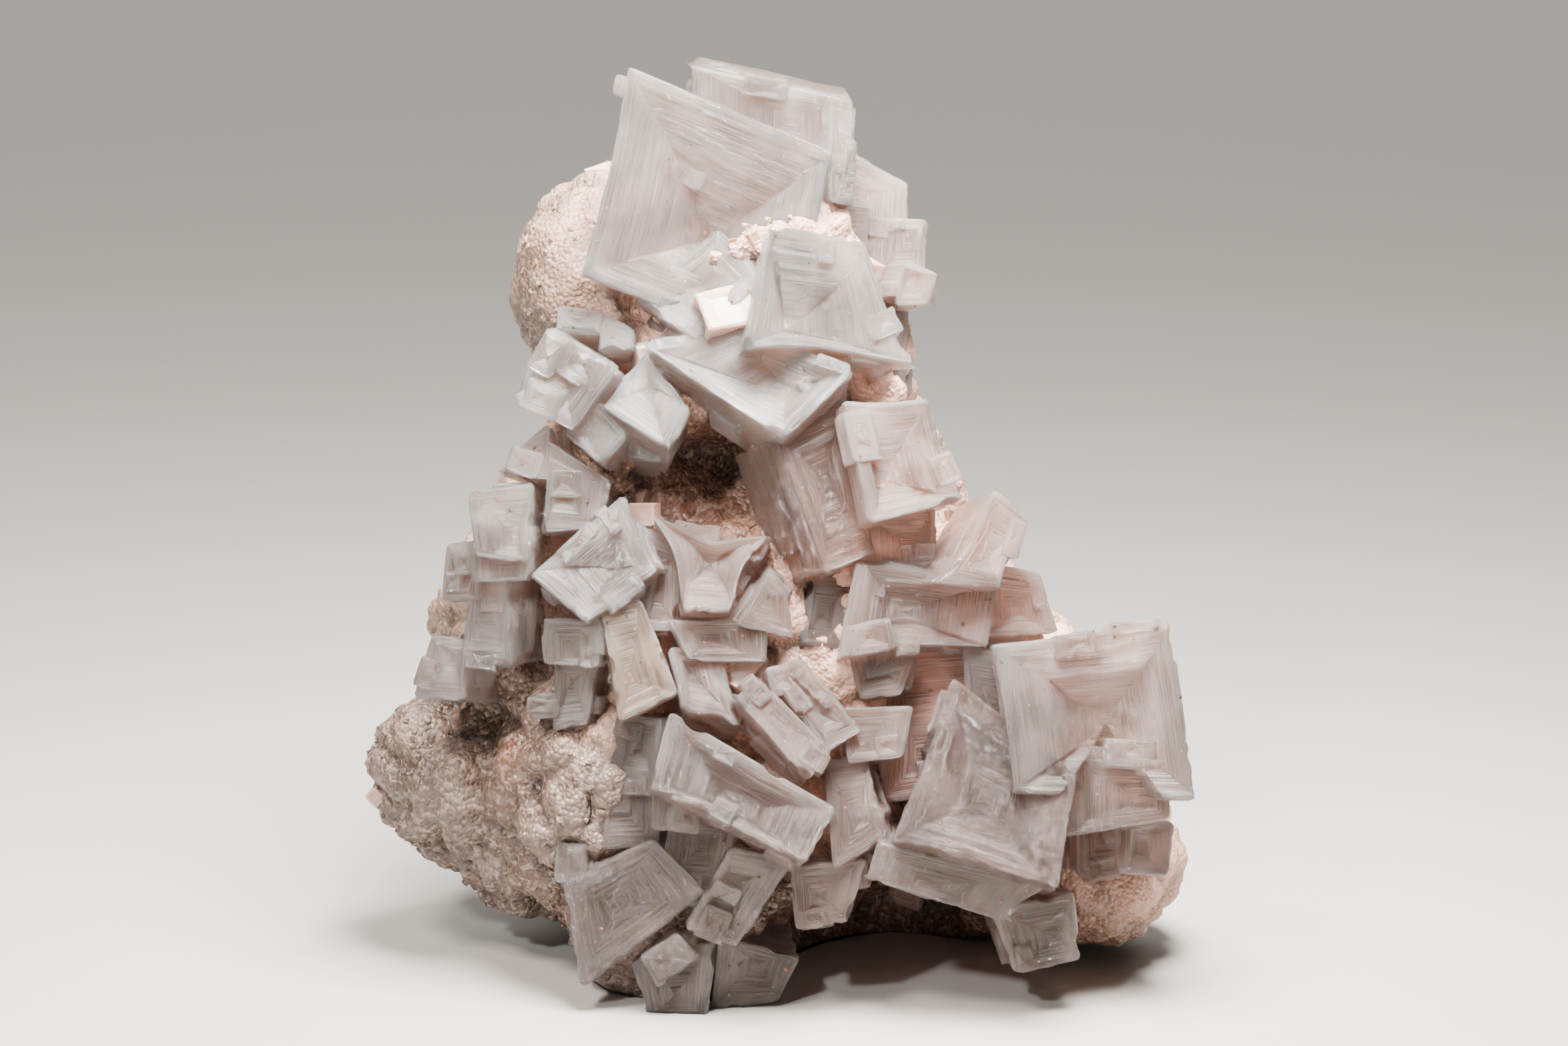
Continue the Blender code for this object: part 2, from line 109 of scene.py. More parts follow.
@dataclass
class Crystal:
    """A block crystal: the corners of its face from the lower left, anticlockwise, and its hollow.

    pit is where the hollow is deepest, as a share of the face across and up, or anywhere if it is empty; floor is the
    size of the hollow's flat bottom; bow is how far the lower, right, upper and left edges curve inwards. notches are
    stretches broken out of the rim: the side, from and to as shares along it, and how deep. shade is how far
    the salt's colour is mixed towards the dusk colour, 0 to 1, added to the painted shade near the foot.
    """

    corners: tuple
    thick: float
    pit: tuple = ()
    depth: float = 0.5
    floor: float = 0.12
    rim: float = 0.15
    stepped: float = 0.35
    taper: float = 0.9
    bow: tuple = (0.0, 0.0, 0.0, 0.0)
    notches: tuple = ()
    crumble: float = 1.0
    rounding: float = 0.6
    shade: float = 0.0
    is_small: bool = False


CROWN = (
    Crystal(((-21.6, 26.4, 3), (0.3, 17.6, -3), (5.4, 39.9, -2), (-16.6, 48.6, 4)), 12,
            pit=(0.6, 0.42), depth=4.2, taper=0.72, bow=(0, 0, 0, 0.6), crumble=0.2),
    Crystal(((-10, 36, -6), (7.4, 33, -7), (7.4, 45.6, -4), (-10, 49.2, -3)), 13, taper=0.95),
    Crystal(((-4, 42, -14), (6, 40, -14), (5, 47.6, -13), (-5, 49.8, -13)), 9),
    Crystal(((5, 34.4, -2), (7.6, 34.2, -3), (7.8, 44.8, -3), (5.2, 46, -2)), 9),
)
UPPER_RIGHT = (
    Crystal(((5, 29, -7), (13, 28, -7), (13.6, 37, -8), (6.5, 40.8, -8)), 12),
    Crystal(((8, 24, -6), (15.2, 25, -6), (15.6, 33, -7), (9, 33.5, -7)), 10, depth=0.8),
    Crystal(((12, 23.4, -5), (15.6, 23.6, -5), (16.8, 27, -5), (13, 28.6, -5)), 7),
    Crystal(((6, 15, -9), (13.2, 14, -9), (13.4, 24, -8), (6, 26, -8)), 12),
    Crystal(((3.4, 26, -5), (9, 25.4, -6), (9.4, 35, -6), (4.4, 35.6, -5)), 10),
)
UPPER_FRONT = (
    Crystal(((-9.6, 19.6, 3), (-1.9, 26.2, 1), (-7.1, 31.9, -1), (-16.1, 23.9, 0)), 10,
            pit=(0.6, 0.5), depth=1.6),
    Crystal(((-4.3, 18.3, 6), (14.2, 17, 2), (8.4, 30, 0), (-1, 32, 4)), 13,
            pit=(0.3, 0.25), depth=3.2, bow=(0.9, 0, 0, 0)),
    Crystal(((-15.2, 18.9, 2), (0, 9.1, 8), (7.5, 16.5, 4), (-6, 21.5, 2)), 11,
            pit=(0.72, 0.55), depth=2.4),
    Crystal(((-19.3, 12.3, 3), (-12.5, 8.1, 5), (-10, 12.2, 3), (-14.8, 18.6, 1)), 9, depth=0.9),
    Crystal(((-16.9, 6.9, 1), (-13, 6.4, 1), (-12.6, 10.6, 0), (-16.2, 11.6, 0)), 8),
)
UPPER_LEFT = (
    Crystal(((-24.6, 20.6, -1), (-20, 20.2, 0), (-19.6, 22.9, -1), (-24.4, 23.5, -2)), 8),
    Crystal(((-19.8, 18, 0), (-16.3, 18.6, 0), (-16, 20.8, -1), (-19.6, 22.9, -1)), 8),
    Crystal(((-29, 13.5, 1), (-22.4, 9.6, 3), (-17.8, 16, 4), (-25, 21.2, 1)), 12,
            depth=1.3, pit=(0.4, 0.6)),
    Crystal(((-23.6, 9.6, 1), (-19.3, 5.9, 3), (-16.4, 9.2, 3), (-20, 13.4, 2)), 9),
)
PEACH_SLABS = (
    Crystal(((-31, 5.4, -1), (-24.6, 4.4, 1), (-25.2, 10.9, 0), (-29, 7.6, -1)), 10),
    Crystal(((-25.7, -1.1, 1), (-19.3, -0.6, 2), (-18.4, 4.4, 1), (-25.2, 9, 1)), 11, depth=0.7),
)
RIGHT_MIDDLE = (
    Crystal(((4.6, -5.3, 6), (9.6, -3.3, 2), (6.4, 12.8, 1), (-1.1, 9, 5)), 10, taper=1.0, shade=0.55),
    Crystal(((8.9, -0.2, 6), (19.4, 2.6, 3), (15.4, 13.2, 1), (6.4, 13.2, 5)), 11,
            pit=(0.3, 0.35), depth=1.9, bow=(0, 0.4, 0.3, 0)),
    Crystal(((8, -5, 1), (16.4, -4.6, 0), (16.2, 2, 0), (7.6, 2, 1)), 9),
)
LEFT = (
    Crystal(((-33, -3.6, 1), (-27.4, -4.4, 2), (-26.8, 4.4, 1), (-34, 3.4, 0)), 10, depth=0.8),
    Crystal(((-33.5, -6.4, 0), (-27, -6.2, 1), (-27, -2.6, 1), (-33.6, -2.8, 0)), 9),
    Crystal(((-37.1, -8.4, -3), (-32.6, -8.2, -1), (-32.8, -1.8, -1), (-36.4, -2.2, -3)), 9),
    Crystal(((-34.8, -15, -2), (-29.3, -15.4, 0), (-29, -5.8, 0), (-33.9, -5.6, -2)), 10),
    Crystal(((-40.2, -19, -4), (-34.6, -19.2, -2), (-33.8, -12.4, -2), (-38.2, -12, -4)), 10),
)
LEFT_CORNER = (
    Crystal(((-26.8, -5.4, 3), (-20.8, -10.4, 6), (-13.3, -5, 4), (-17.1, 3.4, 2)), 12,
            depth=1.5, pit=(0.6, 0.6)),
    Crystal(((-25.7, -15, 2), (-19.6, -15.4, 4), (-19.3, -10, 4), (-26.2, -10.2, 2)), 9),
    Crystal(((-24.8, -22.2, 1), (-21, -21.5, 2), (-19.6, -14.6, 2), (-24.5, -14.4, 1)), 10),
    Crystal(((-27, -21, 1), (-24.2, -20.8, 2), (-24.3, -18, 2), (-26.8, -18.2, 1)), 8),
)
CENTRE = (
    Crystal(((-10.6, -9.4, 5), (-5.8, -9.4, 5), (-0.9, -1.2, 2), (-14.2, 1.1, 2)), 11,
            pit=(0.5, 0.6), depth=2.0, bow=(0, 1.2, 2.0, 1.0), shade=0.15),
    Crystal(((-5.2, -11, 4), (1.3, -12.4, 3), (0.2, -7, 4), (-1.5, -4.9, 4)), 8),
    Crystal(((-10, -14.7, 4), (-1.8, -14.9, 3), (-1.6, -10, 3), (-12.6, -10.2, 3)), 10),
    Crystal(((-10.4, -20, 5), (-4.5, -21.6, 5), (-7, -13, 2), (-12.2, -13, 3)), 9),
    Crystal(((-17.5, -11.5, 1), (-11.2, -11.6, 3), (-11.2, -2, 1), (-16, 0.3, 0)), 10),
)
HORN = (
    Crystal(((5.9, -14.4, 5), (21.8, -13.2, 2), (22.8, -6.6, 1), (7.9, -3.4, 3)), 10,
            pit=(0.4, 0.5), depth=2.0, floor=0.3, bow=(0.8, 0, 0, 0)),
    Crystal(((15.7, -6.4, 6), (23.2, -7.2, 4), (26.2, 0.5, 1), (22.6, 3.8, 3)), 9,
            depth=0.9, bow=(0, 0.6, 0, 0.9)),
    Crystal(((20.6, -12.5, -1), (29.8, -12, -3), (27.6, -5.4, -3), (21.5, -4, -1)), 10),
    Crystal(((1.4, -12.6, 1), (7, -13.6, 1), (7.6, -5.5, 0), (2.9, -5.2, 0)), 10),
    Crystal(((8.2, -18.9, 2), (12.6, -18.4, 2), (14.8, -12.2, 1), (6.8, -13.6, 2)), 10),
)
BIG_RIGHT = (
    Crystal(((24.3, -28.4, 7), (43.7, -29.2, 5), (41.2, -10.3, 3), (21.9, -12.9, 5)), 12,
            pit=(0.6, 0.45), depth=4.4, floor=0.2, bow=(0, 0, 0.3, 0.3),
            notches=((LOWER, 0.24, 0.82, 5.0),), shade=-0.15),
    Crystal(((29.6, -33.4, 3), (41.2, -31.6, 2), (41.4, -25, 1), (29.6, -24, 2)), 11),
    Crystal(((20, -26, 1), (27, -27, 2), (26, -14, 2), (19, -13, 1)), 12),
    Crystal(((31.6, -38, -1), (37.4, -37.4, -2), (37.6, -31.4, -2), (31.4, -31.8, -1)), 9),
    Crystal(((36.6, -37.8, -3), (41.8, -38.2, -5), (42.4, -32.6, -6), (37, -30.8, -3)), 9),
)
SALMON_WALL = (
    Crystal(((10, -30.4, -2), (21.4, -28.4, -1), (22, -12.8, -1), (11.6, -13.4, -1)), 10),
)
LOWER_RIGHT = (
    Crystal(((11.3, -33.6, 8), (28.8, -38.3, 9), (31, -26.6, 5), (17.9, -16.1, 4)), 15,
            pit=(0.45, 0.45), depth=1.5, floor=0.4, bow=(0.3, 0, 0, 0.4), shade=0.3),
    Crystal(((8.6, -37.7, 5), (23.4, -42.4, 5), (28.2, -38, 6), (9.8, -33.6, 6)), 12),
    Crystal(((24.6, -48.2, 1), (31.8, -46.8, 0), (31, -39.5, 1), (21.8, -41, 2)), 11),
)
MIDDLE_BLOCKS = (
    Crystal(((4.6, -24.4, 5), (8.4, -22, 4), (2, -14.3, 3), (-2.1, -15.4, 4)), 9, depth=0.6),
    Crystal(((2.6, -27.2, 7), (5.2, -24.2, 6), (-2.9, -16, 5), (-5.2, -18.4, 6)), 9),
    Crystal(((6.8, -25.6, 4), (12.8, -24.9, 3), (14, -19.4, 2), (5.9, -19.6, 3)), 9),
    Crystal(((5.2, -37, 4), (10.9, -33, 5), (8.9, -25, 2), (4, -24.6, 2)), 10, depth=0.7),
    Crystal(((1.2, -43.4, 2), (6.8, -42.6, 3), (9, -35.6, 3), (0.4, -36.4, 3)), 9),
)
BAR = (
    Crystal(((-14.3, -27.8, 8), (2.4, -35.8, 9), (5.6, -30.1, 7), (-12.1, -19.7, 6)), 9,
            pit=(0.5, 0.35), depth=2.2, floor=0.3, rim=0.6),
    Crystal(((-14, -32.6, 5), (-9, -33, 6), (-8.6, -28, 6), (-14, -27, 5)), 9),
    Crystal(((-19.3, -28.6, 1), (-13.4, -29, 3), (-12.8, -20.8, 4), (-17.5, -20.2, 2)), 10),
    Crystal(((-19.4, -34.9, 1), (-13.2, -34.6, 2), (-13.4, -27.4, 2), (-19.4, -27.8, 1)), 10),
    Crystal(((-23.3, -33.5, 0), (-19, -33.8, 1), (-19, -26.4, 1), (-22.9, -26.4, 0)), 9),
)
YELLOW_BLOCK = (
    Crystal(((-17.4, -21.2, 6), (-11.2, -18, 5), (-15.2, -8, 4), (-19.6, -8.6, 4)), 9, shade=0.1),
)
BOTTOM = (
    Crystal(((-21.8, -50, -1), (-8.2, -39.2, 4), (-13.9, -33.5, 3), (-23.8, -38.3, 1)), 12,
            pit=(0.4, 0.5), depth=0.7),
    Crystal(((-10.6, -43.2, 3), (-5, -45.3, 3), (1.2, -35.6, 4), (-5.8, -34.4, 5)), 10, depth=0.6),
    Crystal(((-24.7, -38.6, 0), (-21, -38.6, 1), (-21, -34.2, 1), (-24.4, -34, 0)), 9),
    Crystal(((-13.8, -40.2, 2), (-6.6, -40.4, 3), (-4.8, -32.4, 3), (-12.2, -31.4, 3)), 10),
)
FEET = (
    Crystal(((-13.4, -50, 1), (-9, -46, 2), (-11.4, -43.6, 2), (-15.6, -46.2, 1)), 8),
    Crystal(((-14.4, -54, -2), (-8.5, -54, -1), (-7, -44.6, 0), (-16.6, -47, -1)), 10),
    Crystal(((-8, -53, -3), (-0.6, -51.6, -3), (1.8, -46.8, -2), (-7, -44, -1)), 11),
)
ALL_CRYSTALS = (
    CROWN + UPPER_RIGHT + UPPER_FRONT + UPPER_LEFT + PEACH_SLABS + RIGHT_MIDDLE + LEFT + LEFT_CORNER
    + CENTRE + HORN + BIG_RIGHT + SALMON_WALL + LOWER_RIGHT + MIDDLE_BLOCKS + BAR + YELLOW_BLOCK + BOTTOM
    + FEET
)

# The crust's lumps, standing upright: centre x, y, z and radii x, y, z.
LUMPS = (
    (-4, 4, 74, 16, 13, 15),
    (-20.3, 12, 74.4, 10.3, 11, 11.4),
    (-2, 16, 86, 10, 8, 7),
    (5, 8, 66, 9, 13, 18),
    (-8, 4, 54, 20, 16, 16),
    (-23, 6, 46, 10, 12, 11),
    (-28, 4, 36, 11, 13, 12),
    (-33.8, 2, 20, 12, 12, 10),
    (-26, 0, 13, 10, 10, 8.5),
    (-20, -4, 22, 13, 16, 17),
    (2, 2, 34, 22, 19, 22),
    (2, 3, 14, 24, 21, 17),
    (22, 0, 27, 15, 15, 13),
    (33.8, 0, 10.8, 10, 12, 9.5),
    (20, 12, 10, 16, 12, 14),
    (-10, 16, 14, 18, 12, 16),
    (6, 20, 44, 15, 10, 20),
    (-13, 19, 60, 13, 9, 14),
    (-12, -10, 8, 12, 11, 12),
    (19, 8, 38, 8, 9, 7),
)
HOLLOWS = (
    (-7.5, -12, 56.5, 9, 10, 7.5),
    (12, -16, 2, 15, 23, 12.5),
)
# Where no larger blocks grow: the knob, the central hollow, the crust at the lower left and the arch.
BARE_SPOTS = (
    ((0, -12, 91), 24),
    ((-24, -9, 20), 32),
    ((-28, 4, 74), 26),
    ((-19, -14, 28), 12),
    ((-24, 6, 76), 22),
    ((-8, -8, 56), 15),
    ((-34, -4, 18), 23),
    ((12, -14, 4), 22),
)


# ---------------------------------------------------------------------------------------------------
# What a user would change
# ---------------------------------------------------------------------------------------------------


class HaliteSizes(bpy.types.PropertyGroup):
    """Sizes of the crystals' relief and of the crust's grain."""

    along_step: FloatProperty(
        name="Edge Step", description="Length of a facet along a crystal's edges, in mm", default=0.45,
        min=0.1)
    ring_step: FloatProperty(
        name="Ring Step", description="Width of a facet down a hollow's walls, in mm", default=0.24, min=0.1)
    terrace: FloatProperty(
        name="Terrace", description="Height of one growth step in a hollow, in mm", default=0.55, min=0.1)
    chip: FloatProperty(
        name="Chips", description="How deep the rims are chipped, in mm", default=0.5, min=0.0)
    crust_voxel: FloatProperty(
        name="Crust Facet", description="Size of a facet of the crust, in mm", default=0.62, min=0.3)
    knob: FloatProperty(
        name="Knobs", description="How far the crust's rounded knobs stand out, in mm", default=1.1, min=0.0)
    druse_count: IntProperty(
        name="Druse Cubes", description="Number of small cubes grown on the crust", default=520, min=0)
    block_count: IntProperty(
        name="Field Blocks", description="Number of larger blocks grown between the crystals", default=520, min=0)
    grain_count: IntProperty(
        name="Salt Grains", description="Number of sugary grains on the crust", default=5200, min=0)
    dust_count: IntProperty(
        name="Dust", description="Number of dark dust specks on the crystals", default=620, min=0)
    lint_count: IntProperty(
        name="Lint", description="Number of fine fibres caught on the crystals", default=46, min=0)


class HaliteColours(bpy.types.PropertyGroup):
    """Colours of the salt, the crust, the dust and the studio floor."""

    ice: FloatVectorProperty(
        name="Ice", description="Frosty clear salt", subtype="COLOR", default=linear(0xF5EBE4))
    blush: FloatVectorProperty(
        name="Blush", description="Salt stained faintly pink", subtype="COLOR", default=linear(0xE6C9BC))
    honey: FloatVectorProperty(
        name="Honey", description="Salt stained faintly yellow", subtype="COLOR", default=linear(0xE9CBA2))
    # Peach: a stain deep in the hollows, also used to paint the warm glow of light passing through the salt there.
    peach: FloatVectorProperty(
        name="Peach", description="Stain deep in the hollows", subtype="COLOR", default=linear(0xE3A488))
    # Dusk: painted shade, the darker colour the salt is mixed towards near the foot and by each crystal's shade
    # value.
    dusk: FloatVectorProperty(
        name="Dusk", description="Duller salt near the foot", subtype="COLOR", default=linear(0x946E5E))
    crust_tan: FloatVectorProperty(
        name="Crust Tan", description="The crust's main colour", subtype="COLOR", default=linear(0x7A6152))
    # Crust grey: muddy patches, also used as painted shade low on the crust.
    crust_grey: FloatVectorProperty(
        name="Crust Grey", description="Muddy patches of the crust", subtype="COLOR",
        default=linear(0x4A3E37))
    crust_rose: FloatVectorProperty(
        name="Crust Rose", description="Pink salt near the crystals", subtype="COLOR",
        default=linear(0xC89D8A))
    # Crust brown: iron stain in clefts and hollows, also used as painted shade under the front arch.
    crust_brown: FloatVectorProperty(
        name="Crust Brown", description="Iron stain in clefts and hollows", subtype="COLOR",
        default=linear(0x5E3824))
    floor: FloatVectorProperty(
        name="Floor", description="Studio floor", subtype="COLOR", default=linear(0xA3A09C))


# ---------------------------------------------------------------------------------------------------
# Noise
# ---------------------------------------------------------------------------------------------------

HASH_STEPS = np.array((73856093, 19349663, 83492791))
JITTER_CELLS = ((0, 0, 0), (101, 7, 13), (29, 211, 71))


def lattice_value(cells):
    """A fixed random value from -1 to 1 for each whole-number cell."""
    mixed = cells @ HASH_STEPS
    mixed = (mixed ^ (mixed >> 13)) * 1274126177
    mixed = mixed ^ (mixed >> 16)
    return (mixed & 0xFFFF) / 32767.5 - 1.0


def soft_noise(points, grain, seed):
    """Smooth random values from -1 to 1 at points in millimetres, one swell every grain."""
    cells = points / grain + seed * 17.31
    base = np.floor(cells).astype(np.int64)
    share = cells - base
    share = share * share * (3.0 - 2.0 * share)
    total = np.zeros(len(points))
    for corner in product((0, 1), repeat=3):
        weight = np.prod(np.where(np.array(corner, bool), share, 1.0 - share), axis=1)
        total += weight * lattice_value(base + np.array(corner))
    return total


def pebble_noise(points, grain, seed):
    """Rounded pebbles of a size: 1 at a pebble's middle, down to 0 in the seams between them."""
    cells = points / grain + seed * 17.31
    base = np.floor(cells).astype(np.int64)
    nearest = np.full(len(points), 9.0)
    for step in product((-1, 0, 1), repeat=3):
        cell = base + np.array(step)
        jitter = np.stack([lattice_value(cell + np.array(shift)) for shift in JITTER_CELLS], axis=1)
        nearest = np.minimum(nearest, np.linalg.norm(cell + 0.5 + 0.4 * jitter - cells, axis=1))
    return np.clip(1.0 - nearest**2, 0.0, 1.0)


def smooth_step(values):
    """From 0 to 1 with soft ends."""
    values = np.clip(values, 0.0, 1.0)
    return values * values * (3.0 - 2.0 * values)


# ---------------------------------------------------------------------------------------------------
# Mesh helpers
# ---------------------------------------------------------------------------------------------------


def deselect_all():
    """Deselect every object."""
    bpy.ops.object.select_all(action="DESELECT")


def select_only(*things):
    """Select the objects, with the first one active."""
    deselect_all()
    for thing in things:
        thing.select_set(True)
    bpy.context.view_layer.objects.active = things[0]


def read_points(mesh):
    """A mesh's vertices as an array."""
    points = np.empty(len(mesh.vertices) * 3)
    mesh.vertices.foreach_get("co", points)
    return points.reshape(-1, 3)


def write_points(mesh, points):
    """Move a mesh's vertices."""
    mesh.vertices.foreach_set("co", points.ravel())
    mesh.update()


def read_normals(mesh):
    """A mesh's vertex normals as an array."""
    normals = np.empty(len(mesh.vertices) * 3)
    mesh.vertices.foreach_get("normal", normals)
    return normals.reshape(-1, 3)


def add_point_value(mesh, name, values):
    """Store one number for each vertex."""
    layer = mesh.attributes.new(name, "FLOAT", "POINT")
    layer.data.foreach_set("value", values.astype(np.float32))


def apply_modifier(thing, kind, **settings):
    """Add a modifier with its settings and apply it."""
    select_only(thing)
    modifier = thing.modifiers.new(kind.title(), kind)
    for key, value in settings.items():
        setattr(modifier, key, value)
    bpy.ops.object.modifier_apply(modifier=modifier.name)


def remove_things(things):
    """Remove objects that have served."""
    for thing in list(things):
        bpy.data.objects.remove(thing)


def finish_piece(piece, name, node, material):
    """Name a piece, give it its material, and let it stand for a solid of the frame, if one is named."""
    piece.name = name
    piece.data.name = name
    piece.data.materials.clear()
    piece.data.materials.append(material)
    if node:
        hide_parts(node)
    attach(piece, "root")


# ---------------------------------------------------------------------------------------------------
# Modelling a crystal
# ---------------------------------------------------------------------------------------------------


def place_pit(crystal, rng):
    """A crystal with no pit of its own gets one off its centre, of its own depth."""
    if crystal.pit:
        return crystal
    pit = (rng.uniform(0.22, 0.78), rng.uniform(0.22, 0.78))
    return replace(crystal, pit=pit, depth=crystal.depth * rng.uniform(0.2, 1.8))


def small_growths(crystal, rng):
    """Small blocks grown in line with a crystal: ledges round its edges and steps inside its hollow."""
    corners, normal = flat_corners(crystal)
    centre = sum(corners, Vector()) / 4
    made = []
    for side in range(4):
        start, end = corners[side], corners[(side + 1) % 4]
        length = (end - start).length
        middle = (start + end) / 2
        reach = (centre - middle).length
        for _ in range(int(crystal.crumble * length / 5.5 + rng.random())):
            is_inside = crystal.depth > 4.0 and rng.random() < 0.12
            width = min(rng.uniform(1.8, 6.0), 0.6 * length)
            inwards = rng.uniform(1.5, 4.0)
            place = start + (end - start) * rng.uniform(0.5 * width / length, 1.0 - 0.5 * width / length)
            along = Matrix.Rotation(math.radians(rng.normal() * 3.0), 3, normal) @ (end - start).normalized()
            inward = normal.cross(along)
            if is_inside:
                share = rng.uniform(0.25, 0.6)
                place = place.lerp(centre, share)
                drop = crystal.depth * share - rng.uniform(0.05, 0.3)
                inwards = min(inwards, 0.35 * reach)
            else:
                drop = rng.uniform(0.5, 0.5 * crystal.thick) if rng.random() < 0.8 else -rng.uniform(0.1, 0.3)
                tapered = (1.0 - crystal.taper) * max(drop, 0.0) / crystal.thick * reach
                place += inward * (tapered + rng.uniform(-0.7, 0.4))
            place -= normal * drop
            flat = (place - along * width / 2, place + along * width / 2,
                    place + along * width / 2 + inward * inwards, place - along * width / 2 + inward * inwards)
            made.append(Crystal(tuple(tuple(corner) for corner in flat), rng.uniform(2.0, 4.5),
                                pit=(rng.uniform(0.35, 0.65), rng.uniform(0.35, 0.65)),
                                depth=rng.uniform(0.1, 0.4), rim=0.3, taper=1.0, rounding=0.35,
                                shade=crystal.shade + rng.uniform(-0.1, 0.2), is_small=True))
    return made


def flat_corners(crystal):
    """The face's corners, moved just enough to lie in one plane, and the plane's normal."""
    corners = [Vector(corner) for corner in crystal.corners]
    normal = (corners[2] - corners[0]).cross(corners[3] - corners[1]).normalized()
    twist = (corners[1] - corners[0]).dot(normal) / 2
    for number, corner in enumerate(corners):
        corner += normal * (-twist if number % 2 else twist)
    return corners, normal


def face_size(crystal):
    """The face's width and height, each measured square to the other's edges."""
    corners, _normal = flat_corners(crystal)
    across = (corners[1] - corners[0] + corners[2] - corners[3]) / 2
    upward = (corners[3] - corners[0] + corners[2] - corners[1]) / 2
    slant = math.sin(across.angle(upward))
    return across.length * slant, upward.length * slant


def lay_over_face(crystal, u, v, depth):
    """World points, in metres, from shares across and up the face and a depth behind it in mm."""
    corners, normal = flat_corners(crystal)
    low_left, low_right, high_right, high_left = [np.array(corner) for corner in corners]
    low = low_left + (low_right - low_left) * u[:, None]
    high = high_left + (high_right - high_left) * u[:, None]
    points = low + (high - low) * v[:, None] - np.array(normal) * depth[:, None]
    return (points @ np.array(LEAN).T + np.array(FRAME_CENTRE)) * MM


def share_from_pit(point, pit):
    """How far a point of the unit face lies from the pit towards the edges, 1 at an edge."""
    x, y = point[0] - pit[0], point[1] - pit[1]
    return max(-y / (0.5 + pit[1]), x / (0.5 - pit[0]), y / (0.5 - pit[1]), -x / (0.5 + pit[0]))


def cut_edges(block, is_chosen, cuts):
    """Subdivide the edges that are chosen."""
    bpy.ops.mesh.select_all(action="DESELECT")
    bm = bmesh.from_edit_mesh(block.data)
    for edge in bm.edges:
        start, end = (vert.co for vert in edge.verts)
        edge.select = is_chosen(start, end)
    bmesh.update_edit_mesh(block.data)
    bpy.ops.mesh.subdivide(number_cuts=max(1, cuts))


def model_block(crystal, sizes):
    """A unit cube whose front has a floor round the pit, cut up finely along every edge."""
    pit = (crystal.pit[0] - 0.5, crystal.pit[1] - 0.5)
    width, height = face_size(crystal)
    deselect_all()
    bpy.ops.mesh.primitive_cube_add(size=1.0)
    block = bpy.context.object
    block.data.uv_layers[0].name = "growth"
    bpy.ops.object.mode_set(mode="EDIT")
    bpy.ops.mesh.select_mode(type="FACE")
    bpy.ops.mesh.select_all(action="DESELECT")
    bm = bmesh.from_edit_mesh(block.data)
    for face in bm.faces:
        face.select = face.normal.z > 0.9
    bmesh.update_edit_mesh(block.data)
    bpy.ops.mesh.extrude_region_move()
    bpy.ops.transform.resize(value=(crystal.floor, crystal.floor, 1.0), center_override=(*pit, 0.5))
    bpy.ops.mesh.select_mode(type="EDGE")

    def is_diagonal(start, end):
        return abs(start.x - end.x) > 1e-4 and abs(start.y - end.y) > 1e-4

    def is_along(start, end, axis):
        step = [abs(a - b) for a, b in zip(start, end)]
        if step[axis] < 1e-4 or sum(step) - step[axis] > 1e-4:
            return False
        if start.z < 0.49:
            return True
        near, far = sorted((share_from_pit(start, pit), share_from_pit(end, pit)))
        return far - near < 1e-4 or near < crystal.floor - 1e-4

    def is_across(start, end):
        return is_along(start, end, 0)

    def is_upright(start, end):
        return is_along(start, end, 1)

    def is_deep(start, end):
        return abs(start.z - end.z) > 1e-4

    wall = (1.0 - crystal.floor) * (width + height) / 4
    coarseness = 1.6 if crystal.is_small else 1.0
    cut_edges(block, is_diagonal, round(wall / sizes.ring_step / coarseness))
    cut_edges(block, is_across, round(width / sizes.along_step / coarseness))
    cut_edges(block, is_upright, round(height / sizes.along_step / coarseness))
    cut_edges(block, is_deep, round(crystal.thick / 0.8 / coarseness))
    bpy.ops.object.mode_set(mode="OBJECT")
    return block


def wall_profile(share, side, seed):
    """The run of each wall from the rim, 0, to the floor, 1: gentle, then steep, then a shelf."""
    rng = np.random.default_rng(seed)
    height = np.empty(len(share))
    for number in range(4):
        turns = (0.0, rng.uniform(0.25, 0.6), rng.uniform(0.65, 0.85), 1.0)
        levels = (0.0, rng.uniform(0.12, 0.4), rng.uniform(0.6, 0.8), 1.0)
        height = np.where(side == number, np.interp(share, turns, levels), height)
    return height


def hollow_depth(crystal, inset, wall, along_mm, side, seed, sizes):
    """Depth of the hollow's wall below the rim: a staircase with wandering, uneven treads."""
    spots = np.stack((along_mm, side * 40.0, np.full(len(side), seed * 9.0)), axis=1)
    wander = 0.5 * soft_noise(spots, 4.0, seed) + 0.2 * soft_noise(spots, 1.1, seed + 1)
    rim = crystal.rim * (1.0 + 0.4 * soft_noise(spots, 3.0, seed + 12))
    share = np.clip((inset - rim) / (wall - rim), 0.0, 1.0)
    share = wall_profile(share, side, seed)
    count = max(2.0, crystal.depth / sizes.terrace)
    climb = share * count + wander * np.sin(np.pi * share)
    uneven = climb + 0.35 * np.sin(climb * 2.1 + seed)
    tread = np.floor(uneven)
    riser = smooth_step((uneven - tread - 0.62) / 0.38)
    stair = np.clip((tread + riser) / count, 0.0, 1.0)
    return crystal.depth * (crystal.stepped * stair + (1.0 - crystal.stepped) * share)


